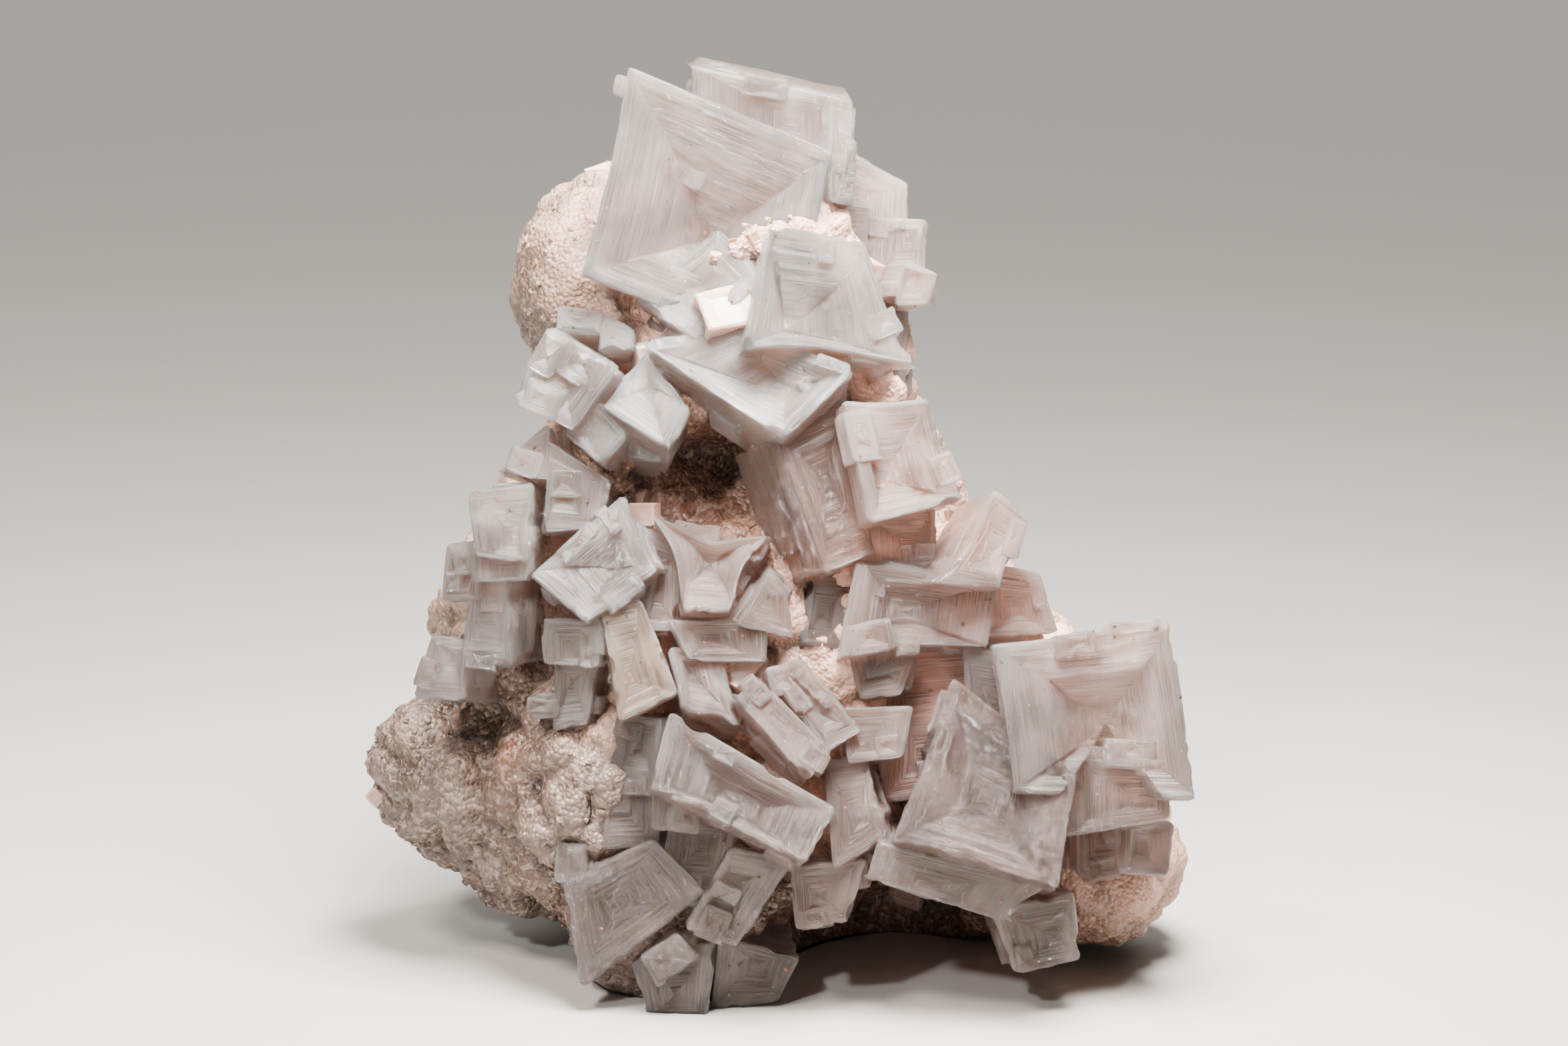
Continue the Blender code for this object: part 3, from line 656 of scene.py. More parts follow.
def shape_crystal(block, crystal, seed, sizes):
    """Give the block its hollow, growth steps, bows, broken rim and chips, and lay it over its corners."""
    mesh = block.data
    x, y, z = read_points(mesh).T
    width, height = face_size(crystal)
    pit_x, pit_y = crystal.pit[0] - 0.5, crystal.pit[1] - 0.5
    ratios = np.stack(((pit_y - y) / (0.5 + pit_y), (x - pit_x) / (0.5 - pit_x),
                       (y - pit_y) / (0.5 - pit_y), (pit_x - x) / (0.5 + pit_x)))
    side = ratios.argmax(axis=0)
    share = ratios.max(axis=0)
    reach = np.array(((0.5 + pit_y) * height, (0.5 - pit_x) * width,
                      (0.5 - pit_y) * height, (0.5 + pit_x) * width))[side]
    held = np.maximum(share, 0.05)
    is_flat_side = side % 2 == 0
    along = np.where(is_flat_side, pit_x + (x - pit_x) / held, pit_y + (y - pit_y) / held)
    along_mm = along * np.where(is_flat_side, width, height)
    inset = (1.0 - share) * reach
    back = (0.5 - z) ** 1.4
    back_mm = back * crystal.thick
    is_front = z > 0.499
    spots = np.stack((x * width, y * height, -back_mm), axis=1)
    edge_spots = np.stack((along_mm, side * 40.0, np.zeros(len(x))), axis=1)

    depth = hollow_depth(crystal, inset, (1.0 - crystal.floor) * reach, along_mm, side, seed, sizes)
    patches = np.round(1.6 * soft_noise(spots, 2.6, seed + 2)) * 0.16
    on_floor = smooth_step((crystal.floor - share) / 0.06)
    from_edge = np.where(is_front, inset, back_mm)
    ridge_spots = np.stack((from_edge / 0.5, along_mm / 7.0, side * 40.0 + np.where(is_front, 0.0, 9.0)), axis=1)
    ridges = 0.13 * soft_noise(ridge_spots, 1.0, seed + 14) * np.clip(from_edge / 0.6, 0.0, 1.0)
    relief = on_floor * patches + ridges + 0.04 * soft_noise(spots, 0.7, seed + 3)
    depth = np.where(is_front, np.maximum(depth + relief, -0.05), 0.0)

    for notch_side, start, end, drop in crystal.notches:
        place = along + 0.5 + 0.02 * soft_noise(edge_spots, 1.2, seed + 4)
        window = smooth_step((place - start) / 0.05) * smooth_step((end - place) / 0.05)
        window = np.where(side == notch_side, window, 0.0)
        floor_line = window * (drop + 0.25 * soft_noise(spots, 1.5, seed + 5))
        depth = np.where(is_front, np.maximum(depth, floor_line), depth)
        back_mm = np.where(is_front, back_mm, floor_line + back_mm * (1.0 - floor_line / crystal.thick))

    crumbs = 0.5 * soft_noise(edge_spots, 1.0, seed + 6) + 0.6 * soft_noise(edge_spots, 3.6, seed + 7)
    crumbs += 0.3 * soft_noise(spots, 0.6, seed + 8)
    nearness = np.clip(1.0 - (inset + back_mm) / 1.3, 0.0, 1.0)
    chips = sizes.chip * crystal.crumble * np.clip(crumbs - 0.12, 0.0, 1.2) * nearness
    soften = 0.09 * np.clip(1.0 - (inset + back_mm) / 0.2, 0.0, 1.0)
    layers = back_mm / 1.7 + 0.6 * soft_noise(edge_spots, 5.0, seed + 9)
    stretch = np.floor(along_mm / 3.0 + 0.7 * soft_noise(edge_spots, 2.0, seed + 13))
    plate_cells = np.stack((np.floor(layers), side * 7.0, 0.6 * stretch), axis=1)
    plates = 0.3 * soft_noise(plate_cells, 1.7, seed + 10) + 0.06 * soft_noise(spots, 0.9, seed + 11)
    plates = np.where(is_front | (share < 0.999), 0.0, plates * np.clip(back_mm / 0.8, 0.0, 1.0))
    bow = np.array(crystal.bow)[side] * (1.0 - (2.0 * along) ** 2) * np.clip(share, 0, 1) * (1.0 - back)
    inward = (chips + soften + plates + bow + np.where(is_front, 0.0, ridges)) / reach
    x = x + (pit_x - x) * inward
    y = y + (pit_y - y) * inward
    x, y = round_corners(x, y, width, height, crystal.rounding)
    sunk = np.where(is_front, depth + 0.7 * chips + soften, back_mm)

    if not crystal.is_small:
        x, y, sunk = break_edges(x, y, sunk, width, height, seed)
    shrink = 1.0 - (1.0 - crystal.taper) * back
    write_points(mesh, lay_over_face(crystal, 0.5 + x * shrink, 0.5 + y * shrink, sunk))
    growth = np.where(is_front, inset, -back_mm)
    store_uv(mesh, "growth", growth / 10.0, sunk / 10.0)
    store_uv(mesh, "shade", np.full(len(x), crystal.shade), np.zeros(len(x)))


def break_edges(x, y, sunk, width, height, seed):
    """Knock a few shell-shaped bites out of the edges, each the inside of a ball."""
    rng = np.random.default_rng(seed + 500)
    points = np.stack((x * width, y * height, -sunk), axis=1)
    for _ in range(int((width + height) / 5)):
        way = rng.uniform(0.0, 2.0 * np.pi)
        edge = np.array((np.cos(way), np.sin(way)))
        edge /= np.abs(edge).max() * 2.0
        radius = rng.uniform(0.7, 1.9)
        outwards = np.array((*edge, 0.35)) / np.linalg.norm((*edge, 0.35))
        ball = np.array((edge[0] * width, edge[1] * height, -rng.uniform(0.0, 1.5))) + outwards * 0.72 * radius
        away = points - ball
        distance = np.maximum(np.linalg.norm(away, axis=1), 1e-6)
        push = np.where(distance < radius, radius / distance, 1.0)
        points = ball + away * push[:, None]
    return points[:, 0] / width, points[:, 1] / height, -points[:, 2]


def round_corners(x, y, width, height, radius):
    """Pull the corners of the unit face in to a radius in mm."""
    over_x = np.maximum(np.abs(x) * width - (width / 2 - radius), 0.0)
    over_y = np.maximum(np.abs(y) * height - (height / 2 - radius), 0.0)
    pull = 1.0 - np.maximum(over_x, over_y) / np.maximum(np.hypot(over_x, over_y), 1e-6)
    x = x - np.sign(x) * over_x * pull / width
    y = y - np.sign(y) * over_y * pull / height
    return x, y


def store_uv(mesh, name, u, v):
    """Keep two numbers for each vertex as a UV map."""
    layer = mesh.uv_layers.get(name) or mesh.uv_layers.new(name=name)
    corners = np.empty(len(mesh.loops), dtype=np.int64)
    mesh.loops.foreach_get("vertex_index", corners)
    layer.data.foreach_set("uv", np.stack((u, v), axis=1)[corners].ravel())


def add_crystal_group(node, crystals, material, seed, name=None):
    """Model a group of intergrown crystals and join them in one skin."""
    sizes = bpy.context.scene.halite_sizes
    rng = np.random.default_rng(seed + 900)
    crystals = [place_pit(crystal, rng) for crystal in crystals]
    small = [growth for crystal in crystals for growth in small_growths(crystal, rng)]
    blocks = []
    for number, crystal in enumerate([*crystals, *small]):
        block = model_block(crystal, sizes)
        shape_crystal(block, crystal, seed * 100 + number, sizes)
        blocks.append(block)
    while len(blocks) > 1:
        for first, second in zip(blocks[::2], blocks[1::2]):
            apply_modifier(first, "BOOLEAN", operation="UNION", solver="MANIFOLD", object=second)
        remove_things(blocks[1::2])
        blocks = blocks[::2]
    group = blocks[0]
    points = read_points(group.data)
    points[:, 2] = np.maximum(points[:, 2], 0.0)
    write_points(group.data, points)
    select_only(group)
    bpy.ops.object.shade_smooth_by_angle(angle=math.radians(32.0))
    finish_piece(group, (name or node) + "_salt", node, material)
    return group


# ---------------------------------------------------------------------------------------------------
# Materials
# ---------------------------------------------------------------------------------------------------


def add_node(tree, kind, settings=None, links=None):
    """Add a node, set its inputs and properties by name, and link its inputs to other nodes' outputs."""
    node = tree.nodes.new(kind)
    for key, value in (settings or {}).items():
        if isinstance(key, str) and hasattr(node, key):
            setattr(node, key, value)
        else:
            node.inputs[key].default_value = value
    for key, output in (links or {}).items():
        tree.links.new(output, node.inputs[key])
    return node


def new_material(name):
    """An empty node material, with its tree and its Principled shader."""
    material = bpy.data.materials.new(name)
    material.use_nodes = True
    tree = material.node_tree
    return material, tree, tree.nodes["Principled BSDF"]


def colour(value):
    """A colour with full opacity."""
    return (*value, 1.0)


def frosted_halite(name, body, tint, clearness, absorb):
    """Halite, rock salt: clear, brittle and etched by damp air, so its faces are frosted over.

    Light sinks in and comes out pale; fine growth lines run parallel to each edge, milky veils cloud the
    inside, and the colour warms where the crystal is deep, partly a stain and partly a painted glow. A painted
    highlight whitens the edges, and painted shade darkens the salt towards the foot.
    """
    material, tree, shader = new_material(name)
    colours = bpy.context.scene.halite_colours
    growth_map = add_node(tree, "ShaderNodeUVMap", {"uv_map": "growth"})
    growth = add_node(tree, "ShaderNodeSeparateXYZ", links={0: growth_map.outputs[0]})
    place = add_node(tree, "ShaderNodeTexCoord").outputs["Object"]

    # Growth lines: 0.6 mm apart across the growth direction, drifting slowly along the face, and clear
    # only in patches of about 6 mm.
    line_place = add_node(tree, "ShaderNodeMath", {"operation": "MULTIPLY", 1: 17.0},
                          {0: growth.outputs["X"]})
    lines = add_node(tree, "ShaderNodeTexNoise",
                     {"noise_dimensions": "4D", "Scale": 50.0, "Detail": 4.0, "Roughness": 0.65},
                     {"Vector": place, "W": line_place.outputs[0]})
    patches = add_node(tree, "ShaderNodeTexNoise", {"Scale": 160.0, "Detail": 2.0}, {"Vector": place})
    shown = add_node(tree, "ShaderNodeMapRange",
                     {"From Min": 0.4, "From Max": 0.6, "To Min": 0.25, "To Max": 1.0},
                     {"Value": patches.outputs["Fac"]})
    raised = add_node(tree, "ShaderNodeMath", {"operation": "MULTIPLY"},
                      {0: lines.outputs["Fac"], 1: shown.outputs[0]})
    # Wide growth bands, 1.5 mm.
    band_place = add_node(tree, "ShaderNodeMath", {"operation": "MULTIPLY", 1: 7.0},
                          {0: growth.outputs["X"]})
    bands = add_node(tree, "ShaderNodeTexNoise",
                     {"noise_dimensions": "4D", "Scale": 60.0, "Detail": 2.0},
                     {"Vector": place, "W": band_place.outputs[0]})
    # Milky veils of tiny brine bubbles, about 7 mm across.
    veils = add_node(tree, "ShaderNodeTexNoise",
                     {"Scale": 150.0, "Detail": 4.0, "Roughness": 0.5}, {"Vector": place})
    # Frost: grains of about 0.2 mm, drawn a little coarser than they are so that they show.
    frost = add_node(tree, "ShaderNodeTexNoise", {"Scale": 2600.0, "Detail": 2.0}, {"Vector": place})

    # Deep in the hollows and towards the back the colour turns to the tint: partly stain, partly a painted glow of
    # light passing through the salt.
    deep = add_node(tree, "ShaderNodeMapRange",
                    {"From Min": 0.08, "From Max": 0.45, "To Min": 0.1, "To Max": 0.85},
                    {"Value": growth.outputs["Y"]})
    patchy = add_node(tree, "ShaderNodeMapRange", {"From Min": 0.36, "From Max": 0.6},
                      {"Value": veils.outputs["Fac"]})
    tinting = add_node(tree, "ShaderNodeMath", {"operation": "MULTIPLY"},
                       {0: deep.outputs[0], 1: patchy.outputs[0]})
    tinted = add_node(tree, "ShaderNodeMix",
                      {"data_type": "RGBA", 6: colour(body), 7: colour(tint)},
                      {0: tinting.outputs[0]})
    # White, bubble-rich growth zones, and a painted highlight along the edges, where light gathers.
    zone = add_node(tree, "ShaderNodeMapRange",
                    {"From Min": 0.48, "From Max": 0.62, "To Min": 0.0, "To Max": 0.9},
                    {"Value": bands.outputs["Fac"]})
    from_edge = add_node(tree, "ShaderNodeMath", {"operation": "ABSOLUTE"}, {0: growth.outputs["X"]})
    painted_edge_highlight = add_node(tree, "ShaderNodeMapRange",
                         {"From Min": 0.01, "From Max": 0.06, "To Min": 0.6, "To Max": 0.0},
                         {"Value": from_edge.outputs[0]})
    white = add_node(tree, "ShaderNodeMath", {"operation": "MAXIMUM"},
                     {0: zone.outputs[0], 1: painted_edge_highlight.outputs[0]})
    milky = add_node(tree, "ShaderNodeMix", {"data_type": "RGBA", 7: colour(linear(0xFDFBF9))},
                     {0: white.outputs[0], 6: tinted.outputs[2]})
    # Fine dark lines where the growth paused.
    pause = add_node(tree, "ShaderNodeMapRange",
                     {"From Min": 0.3, "From Max": 0.5, "To Min": 0.75, "To Max": 0.0},
                     {"Value": lines.outputs["Fac"]})
    paused = add_node(tree, "ShaderNodeMath", {"operation": "MULTIPLY"},
                      {0: pause.outputs[0], 1: shown.outputs[0]})
    lined = add_node(tree, "ShaderNodeMix", {"data_type": "RGBA", 7: colour(linear(0xA08C84))},
                     {0: paused.outputs[0], 6: milky.outputs[2]})
    # Painted shade: towards the foot the salt is mixed towards the darker, rosier dusk colour, and each crystal
    # further by its own shade value.
    height = add_node(tree, "ShaderNodeSeparateXYZ", links={0: place})
    low = add_node(tree, "ShaderNodeMapRange",
                   {"From Min": 0.015, "From Max": 0.066, "To Min": 0.62, "To Max": 0.0},
                   {"Value": height.outputs["Z"]})
    shade_map = add_node(tree, "ShaderNodeUVMap", {"uv_map": "shade"})
    shade = add_node(tree, "ShaderNodeSeparateXYZ", links={0: shade_map.outputs[0]})
    darkening = add_node(tree, "ShaderNodeMath", {"operation": "ADD", "use_clamp": True},
                        {0: low.outputs[0], 1: shade.outputs["X"]})
    darkened = add_node(tree, "ShaderNodeMix", {"data_type": "RGBA", 7: colour(colours.dusk)},
                      {0: darkening.outputs[0], 6: lined.outputs[2]})
    tree.links.new(darkened.outputs[2], shader.inputs["Base Color"])

    gloss = add_node(tree, "ShaderNodeMapRange",
                     {"From Min": 0.35, "From Max": 0.65, "To Min": 0.05, "To Max": 0.26},
                     {"Value": veils.outputs["Fac"]})
    tree.links.new(gloss.outputs[0], shader.inputs["Roughness"])
    line_bump = add_node(tree, "ShaderNodeBump", {"Strength": 1.0, "Distance": 0.65 * MM},
                         {"Height": raised.outputs[0]})
    band_bump = add_node(tree, "ShaderNodeBump", {"Strength": 0.7, "Distance": 0.6 * MM},
                         {"Height": bands.outputs["Fac"], "Normal": line_bump.outputs[0]})
    frost_bump = add_node(tree, "ShaderNodeBump", {"Strength": 0.25, "Distance": 0.04 * MM},
                          {"Height": frost.outputs["Fac"], "Normal": band_bump.outputs[0]})
    tree.links.new(frost_bump.outputs[0], shader.inputs["Normal"])

    tree.links.new(line_bump.outputs[0], shader.inputs["Coat Normal"])
    shader.inputs["Coat Weight"].default_value = 0.8
    shader.inputs["Coat Roughness"].default_value = 0.06
    shader.inputs["Coat IOR"].default_value = 1.5
    shader.inputs["IOR"].default_value = 1.544
    shader.inputs["Transmission Weight"].default_value = clearness
    shader.inputs["Subsurface Weight"].default_value = 1.0
    shader.inputs["Subsurface Radius"].default_value = (1.0, 0.78, 0.68)
    shader.inputs["Subsurface Scale"].default_value = 3.0 * MM
    inside = add_node(tree, "ShaderNodeVolumeAbsorption", {"Color": colour(tint), "Density": absorb})
    output = tree.nodes["Material Output"]
    tree.links.new(inside.outputs[0], output.inputs["Volume"])
    return material


def salt_crust():
    """Granular halite mixed with clay: sugary grains fused in knobs, dull, with painted shade in the seams."""
    material, tree, shader = new_material("granular_halite_clay")
    colours = bpy.context.scene.halite_colours
    place = add_node(tree, "ShaderNodeTexCoord").outputs["Object"]
    seam_shade = add_node(tree, "ShaderNodeAttribute", {"attribute_name": "seam_shade"}).outputs["Fac"]
    stain_and_shade = add_node(tree, "ShaderNodeAttribute", {"attribute_name": "stain_and_shade"}).outputs["Fac"]
    rose = add_node(tree, "ShaderNodeAttribute", {"attribute_name": "rose"}).outputs["Fac"]
    mud_and_low_shade = add_node(tree, "ShaderNodeAttribute", {"attribute_name": "mud_and_low_shade"}).outputs["Fac"]
    # Grains: 0.5 mm, each of its own shade.
    grains = add_node(tree, "ShaderNodeTexVoronoi", {"Scale": 1900.0}, {"Vector": place})
    mottle = add_node(tree, "ShaderNodeTexNoise", {"Scale": 330.0, "Detail": 5.0, "Roughness": 0.65},
                      {"Vector": place})
    mottling = add_node(tree, "ShaderNodeMapRange", {"From Min": 0.3, "From Max": 0.7}, {"Value": mottle.outputs["Fac"]})
    grain_split = add_node(tree, "ShaderNodeSeparateColor", links={0: grains.outputs["Color"]})

    ground = add_node(tree, "ShaderNodeMix",
                      {"data_type": "RGBA", 6: colour(colours.crust_tan), 7: colour(linear(0x8C715F))},
                      {0: mottling.outputs[0]})
    # Grey mud, and painted shade low on the crust, in the same grey.
    mud_and_shade_mixed = add_node(tree, "ShaderNodeMix", {"data_type": "RGBA", 7: colour(colours.crust_grey)},
                     {0: mud_and_low_shade, 6: ground.outputs[2]})
    rosy = add_node(tree, "ShaderNodeMix", {"data_type": "RGBA", 7: colour(colours.crust_rose)},
                    {0: rose, 6: mud_and_shade_mixed.outputs[2]})
    # Iron stain, and painted shade under the front arch, in the same brown.
    stained = add_node(tree, "ShaderNodeMix", {"data_type": "RGBA", 7: colour(colours.crust_brown)},
                       {0: stain_and_shade, 6: rosy.outputs[2]})
    # Painted shade: the seams between knobs, the low hollows and the faces that look down are darkened.
    seam_shaded = add_node(tree, "ShaderNodeMix", {"data_type": "RGBA", 7: colour(linear(0x3A2A20))},
                      {0: seam_shade, 6: stained.outputs[2]})
    sugar = add_node(tree, "ShaderNodeMapRange",
                     {"From Min": 0.55, "From Max": 1.0, "To Min": 0.0, "To Max": 0.5},
                     {"Value": grain_split.outputs[0]})
    sugary = add_node(tree, "ShaderNodeMix", {"data_type": "RGBA", 7: colour(linear(0xA58F80))},
                      {0: sugar.outputs[0], 6: seam_shaded.outputs[2]})
    tree.links.new(sugary.outputs[2], shader.inputs["Base Color"])

    gloss = add_node(tree, "ShaderNodeMapRange", {"To Min": 0.3, "To Max": 0.75},
                     {"Value": grain_split.outputs[1]})
    tree.links.new(gloss.outputs[0], shader.inputs["Roughness"])
    grain_bump = add_node(tree, "ShaderNodeBump", {"Strength": 0.9, "Distance": 0.3 * MM, "invert": True},
                          {"Height": grains.outputs["Distance"]})
    mottle_bump = add_node(tree, "ShaderNodeBump", {"Strength": 0.6, "Distance": 0.6 * MM},
                           {"Height": mottle.outputs["Fac"], "Normal": grain_bump.outputs[0]})
    tree.links.new(mottle_bump.outputs[0], shader.inputs["Normal"])
    shader.inputs["IOR"].default_value = 1.544
    shader.inputs["Subsurface Weight"].default_value = 0.35
    shader.inputs["Subsurface Radius"].default_value = (1.0, 0.6, 0.4)
    shader.inputs["Subsurface Scale"].default_value = 1.2 * MM
    return material


def sugary_halite():
    """Sugary halite: tiny frosted cubes and grains, milky because light scatters at every face."""
    material, tree, shader = new_material("sugary_halite")
    place = add_node(tree, "ShaderNodeTexCoord").outputs["Object"]
    patches = add_node(tree, "ShaderNodeTexNoise", {"Scale": 90.0, "Detail": 4.0}, {"Vector": place})
    patchy = add_node(tree, "ShaderNodeMapRange", {"From Min": 0.35, "From Max": 0.65}, {"Value": patches.outputs["Fac"]})
    mixed = add_node(tree, "ShaderNodeMix",
                     {"data_type": "RGBA", 6: colour(linear(0xC29D8C)), 7: colour(linear(0xDCC8BE))},
                     {0: patchy.outputs[0]})
    tree.links.new(mixed.outputs[2], shader.inputs["Base Color"])
    frost = add_node(tree, "ShaderNodeTexNoise", {"Scale": 2200.0, "Detail": 2.0}, {"Vector": place})
    bump = add_node(tree, "ShaderNodeBump", {"Strength": 0.5, "Distance": 0.08 * MM},
                    {"Height": frost.outputs["Fac"]})
    tree.links.new(bump.outputs[0], shader.inputs["Normal"])
    shader.inputs["Roughness"].default_value = 0.45
    shader.inputs["IOR"].default_value = 1.544
    shader.inputs["Transmission Weight"].default_value = 0.45
    shader.inputs["Subsurface Weight"].default_value = 1.0
    shader.inputs["Subsurface Radius"].default_value = (1.0, 0.7, 0.55)
    shader.inputs["Subsurface Scale"].default_value = 1.5 * MM
    return material


def field_dust():
    """Dark mineral dust: matt specks of rust and manganese."""
    material, tree, shader = new_material("rust_dust")
    place = add_node(tree, "ShaderNodeTexCoord").outputs["Object"]
    shade = add_node(tree, "ShaderNodeTexNoise", {"Scale": 300.0}, {"Vector": place})
    shades = add_node(tree, "ShaderNodeMapRange", {"From Min": 0.4, "From Max": 0.6}, {"Value": shade.outputs["Fac"]})
    mixed = add_node(tree, "ShaderNodeMix",
                     {"data_type": "RGBA", 6: colour(linear(0x2A211C)), 7: colour(linear(0x6E4B33))},
                     {0: shades.outputs[0]})
    tree.links.new(mixed.outputs[2], shader.inputs["Base Color"])
    shader.inputs["Roughness"].default_value = 0.85
    return material


def cotton_lint():
    """Cotton lint: thin, matt grey-brown fibres."""
    material, _tree, shader = new_material("cotton_lint")
    shader.inputs["Base Color"].default_value = colour(linear(0x6D625B))
    shader.inputs["Roughness"].default_value = 0.9
    return material


def shared_material(name, make):
    """A material that several pieces share, made the first time it is asked for."""
    return bpy.data.materials.get(name) or make()


def sugary_salt():
    """The small cubes' and blocks' halite."""
    return shared_material("sugary_halite", sugary_halite)


def ice_salt():
    """Frosty, nearly colourless halite."""
    colours = bpy.context.scene.halite_colours
    return shared_material(
        "etched_halite_ice", lambda: frosted_halite("etched_halite_ice", colours.ice, colours.peach, 0.84, 8.0))


def blush_salt():
    """Halite with a faint pink stain."""
    colours = bpy.context.scene.halite_colours
    return shared_material(
        "etched_halite_blush",
        lambda: frosted_halite("etched_halite_blush", colours.blush, colours.peach, 0.8, 12.0))


def salmon_salt():
    """Halite stained salmon by iron."""
    colours = bpy.context.scene.halite_colours
    return shared_material(
        "etched_halite_salmon",
        lambda: frosted_halite("etched_halite_salmon", linear(0xCB7C60), colours.peach, 0.3, 12.0))


def honey_salt():
    """Halite with a faint yellow stain."""
    colours = bpy.context.scene.halite_colours
    return shared_material(
        "etched_halite_honey",
        lambda: frosted_halite("etched_halite_honey", colours.honey, linear(0xD9A066), 0.72, 14.0))


# ---------------------------------------------------------------------------------------------------
# The crust, its small cubes and grains
# ---------------------------------------------------------------------------------------------------


def add_ellipsoids(name, lumps):
    """Ellipsoids joined in one object."""
    deselect_all()
    made = []
    for x, y, z, *radii in lumps:
        bpy.ops.mesh.primitive_ico_sphere_add(subdivisions=4, radius=1.0, location=Vector((x, y, z)) * MM,
                                              scale=[r * MM for r in radii])
        made.append(bpy.context.object)
    select_only(*made)
    bpy.ops.object.join()
    bpy.ops.object.transform_apply(location=True, rotation=True, scale=True)
    whole = bpy.context.object
    whole.name = name
    return whole


def add_core_blocks(inset):
    """A plain block inside each crystal, smaller all round by the inset in mm, in one collection."""
    cores = bpy.data.collections.new("crystal_cores")
    bpy.context.scene.collection.children.link(cores)
    for crystal in ALL_CRYSTALS:
        deselect_all()
        bpy.ops.mesh.primitive_cube_add(size=1.0)
        core = bpy.context.object
        x, y, z = read_points(core.data).T
        width, height = face_size(crystal)
        back = 0.5 - z
        shrink = 1.0 - (1.0 - crystal.taper) * back
        u = 0.5 + x * shrink * (1.0 - 2.0 * inset / width)
        v = 0.5 + y * shrink * (1.0 - 2.0 * inset / height)
        depth = -0.3 + back * (crystal.thick - inset + 0.3)
        write_points(core.data, lay_over_face(crystal, u, v, depth))
        for collection in list(core.users_collection):
            collection.objects.unlink(core)
        cores.objects.link(core)
    return cores


def model_crust(sizes):
    """Fused lumps with hollows, and room for the crystals, as one fine skin."""
    crust = add_ellipsoids("crust", LUMPS)
    apply_modifier(crust, "REMESH", mode="VOXEL", voxel_size=1.5 * MM)
    hollows = add_ellipsoids("hollows", HOLLOWS)
    apply_modifier(crust, "BOOLEAN", operation="DIFFERENCE", solver="MANIFOLD", object=hollows)
    cores = add_core_blocks(0.9)
    apply_modifier(crust, "BOOLEAN", operation="DIFFERENCE", solver="EXACT", operand_type="COLLECTION",
                   collection=cores)
    remove_things([hollows, *cores.objects])
    bpy.data.collections.remove(cores)
    apply_modifier(crust, "REMESH", mode="VOXEL", voxel_size=sizes.crust_voxel * MM)
    return crust


def roughen_crust(crust, sizes):
    """Raise knobs and grains on the crust, flatten its base, and note the painted shade of its seams and its stains.
    """
    mesh = crust.data
    points = read_points(mesh) / MM
    normals = read_normals(mesh)
    knobs = pebble_noise(points + 1.2 * swirl(points, 5.0, 6), 5.2, 1)
    pebbles = pebble_noise(points + 0.5 * swirl(points, 2.0, 7), 2.3, 2)
    swell = soft_noise(points, 11.0, 3)
    grit = soft_noise(points, 1.0, 4)
    calm = 1.0 - 0.8 * spot_strength(points, (-27, 10, 76), 20)
    lift = sizes.knob * calm * (3.0 * (knobs - 0.7) + 1.2 * (pebbles - 0.65)) + 1.0 * swell + 0.16 * grit
    points = points + normals * (lift * np.clip(points[:, 2] / 3.0, 0.0, 1.0))[:, None]
    points[:, 2] = np.maximum(points[:, 2], 0.0)
    write_points(mesh, points * MM)

    # Painted shade: seams between knobs and pebbles, low hollows and faces that look down.
    seam_shade = smooth_step((0.72 - knobs) / 0.4) * 0.75 + smooth_step((0.6 - pebbles) / 0.35) * 0.4
    seam_shade += 0.5 * smooth_step((-0.1 - swell) / 0.5) + 0.45 * smooth_step((-0.1 - normals[:, 2]) / 0.7)
    colour_crust(mesh, points, np.clip(seam_shade * (0.4 + 0.6 * calm), 0.0, 0.95))


def colour_crust(mesh, points, seam_shade):
    """Note at each point its painted seam shade, its stain with the painted shade under the arch, its rose, and its
    mud with the painted shade low down.
    """
    add_point_value(mesh, "seam_shade", seam_shade)
    add_point_value(mesh, "stain_and_shade", stain_and_shade_strength(points))
    add_point_value(mesh, "rose", rose_strength(points))
    add_point_value(mesh, "mud_and_low_shade", mud_and_low_shade_strength(points))


def swirl(points, grain, seed):
    """A soft, wandering shift of each point in all three directions."""
    return np.stack([soft_noise(points, grain, seed + 40 + axis) for axis in range(3)], axis=1)


def spot_strength(points, centre, radius):
    """1 at a spot, fading to 0 at its radius."""
    away = np.linalg.norm(points - np.array(centre), axis=1)
    return smooth_step(1.0 - away / radius)


def stain_and_shade_strength(points):
    """Iron stain, strong in the central hollow and in the left-hand clefts, with painted shade under the front arch;
    it also darkens the crust at the right-hand foot.
    """
    strength = 1.7 * spot_strength(points, (-8, -7, 56), 18)
    # Painted shade under the front arch.
    strength += 1.8 * spot_strength(points, (12, -8, 4), 26)
    strength += 1.1 * spot_strength(points, (-28, -12, 25), 10)
    strength += 0.9 * spot_strength(points, (-24, -12, 12), 10)
    strength += 1.0 * spot_strength(points, (29, -10, 8), 13)
    strength += 0.5 * spot_strength(points, (-18, -8, 71), 9)
    return np.clip(strength * (0.75 + 0.45 * soft_noise(points, 4.0, 21)), 0.0, 0.92)


def rose_strength(points):
    """Pink salt: all the right-hand side and between the crystals, fading out to the left."""
    x, y, z = points.T
    strength = smooth_step((x + 14.0) / 22.0) * smooth_step((z - 10.0) / 14.0) + 0.5 * spot_strength(points, (-12, 0, 80), 18)
    strength += 1.1 * spot_strength(points, (40, -4, 12), 18)
    strength += 0.8 * smooth_step((x + 26.0) / 6.0) * smooth_step((z - 26.0) / 10.0) * smooth_step(-y / 6.0)
    return np.clip(strength * (0.8 + 0.4 * soft_noise(points, 6.0, 22)), 0.0, 0.95)


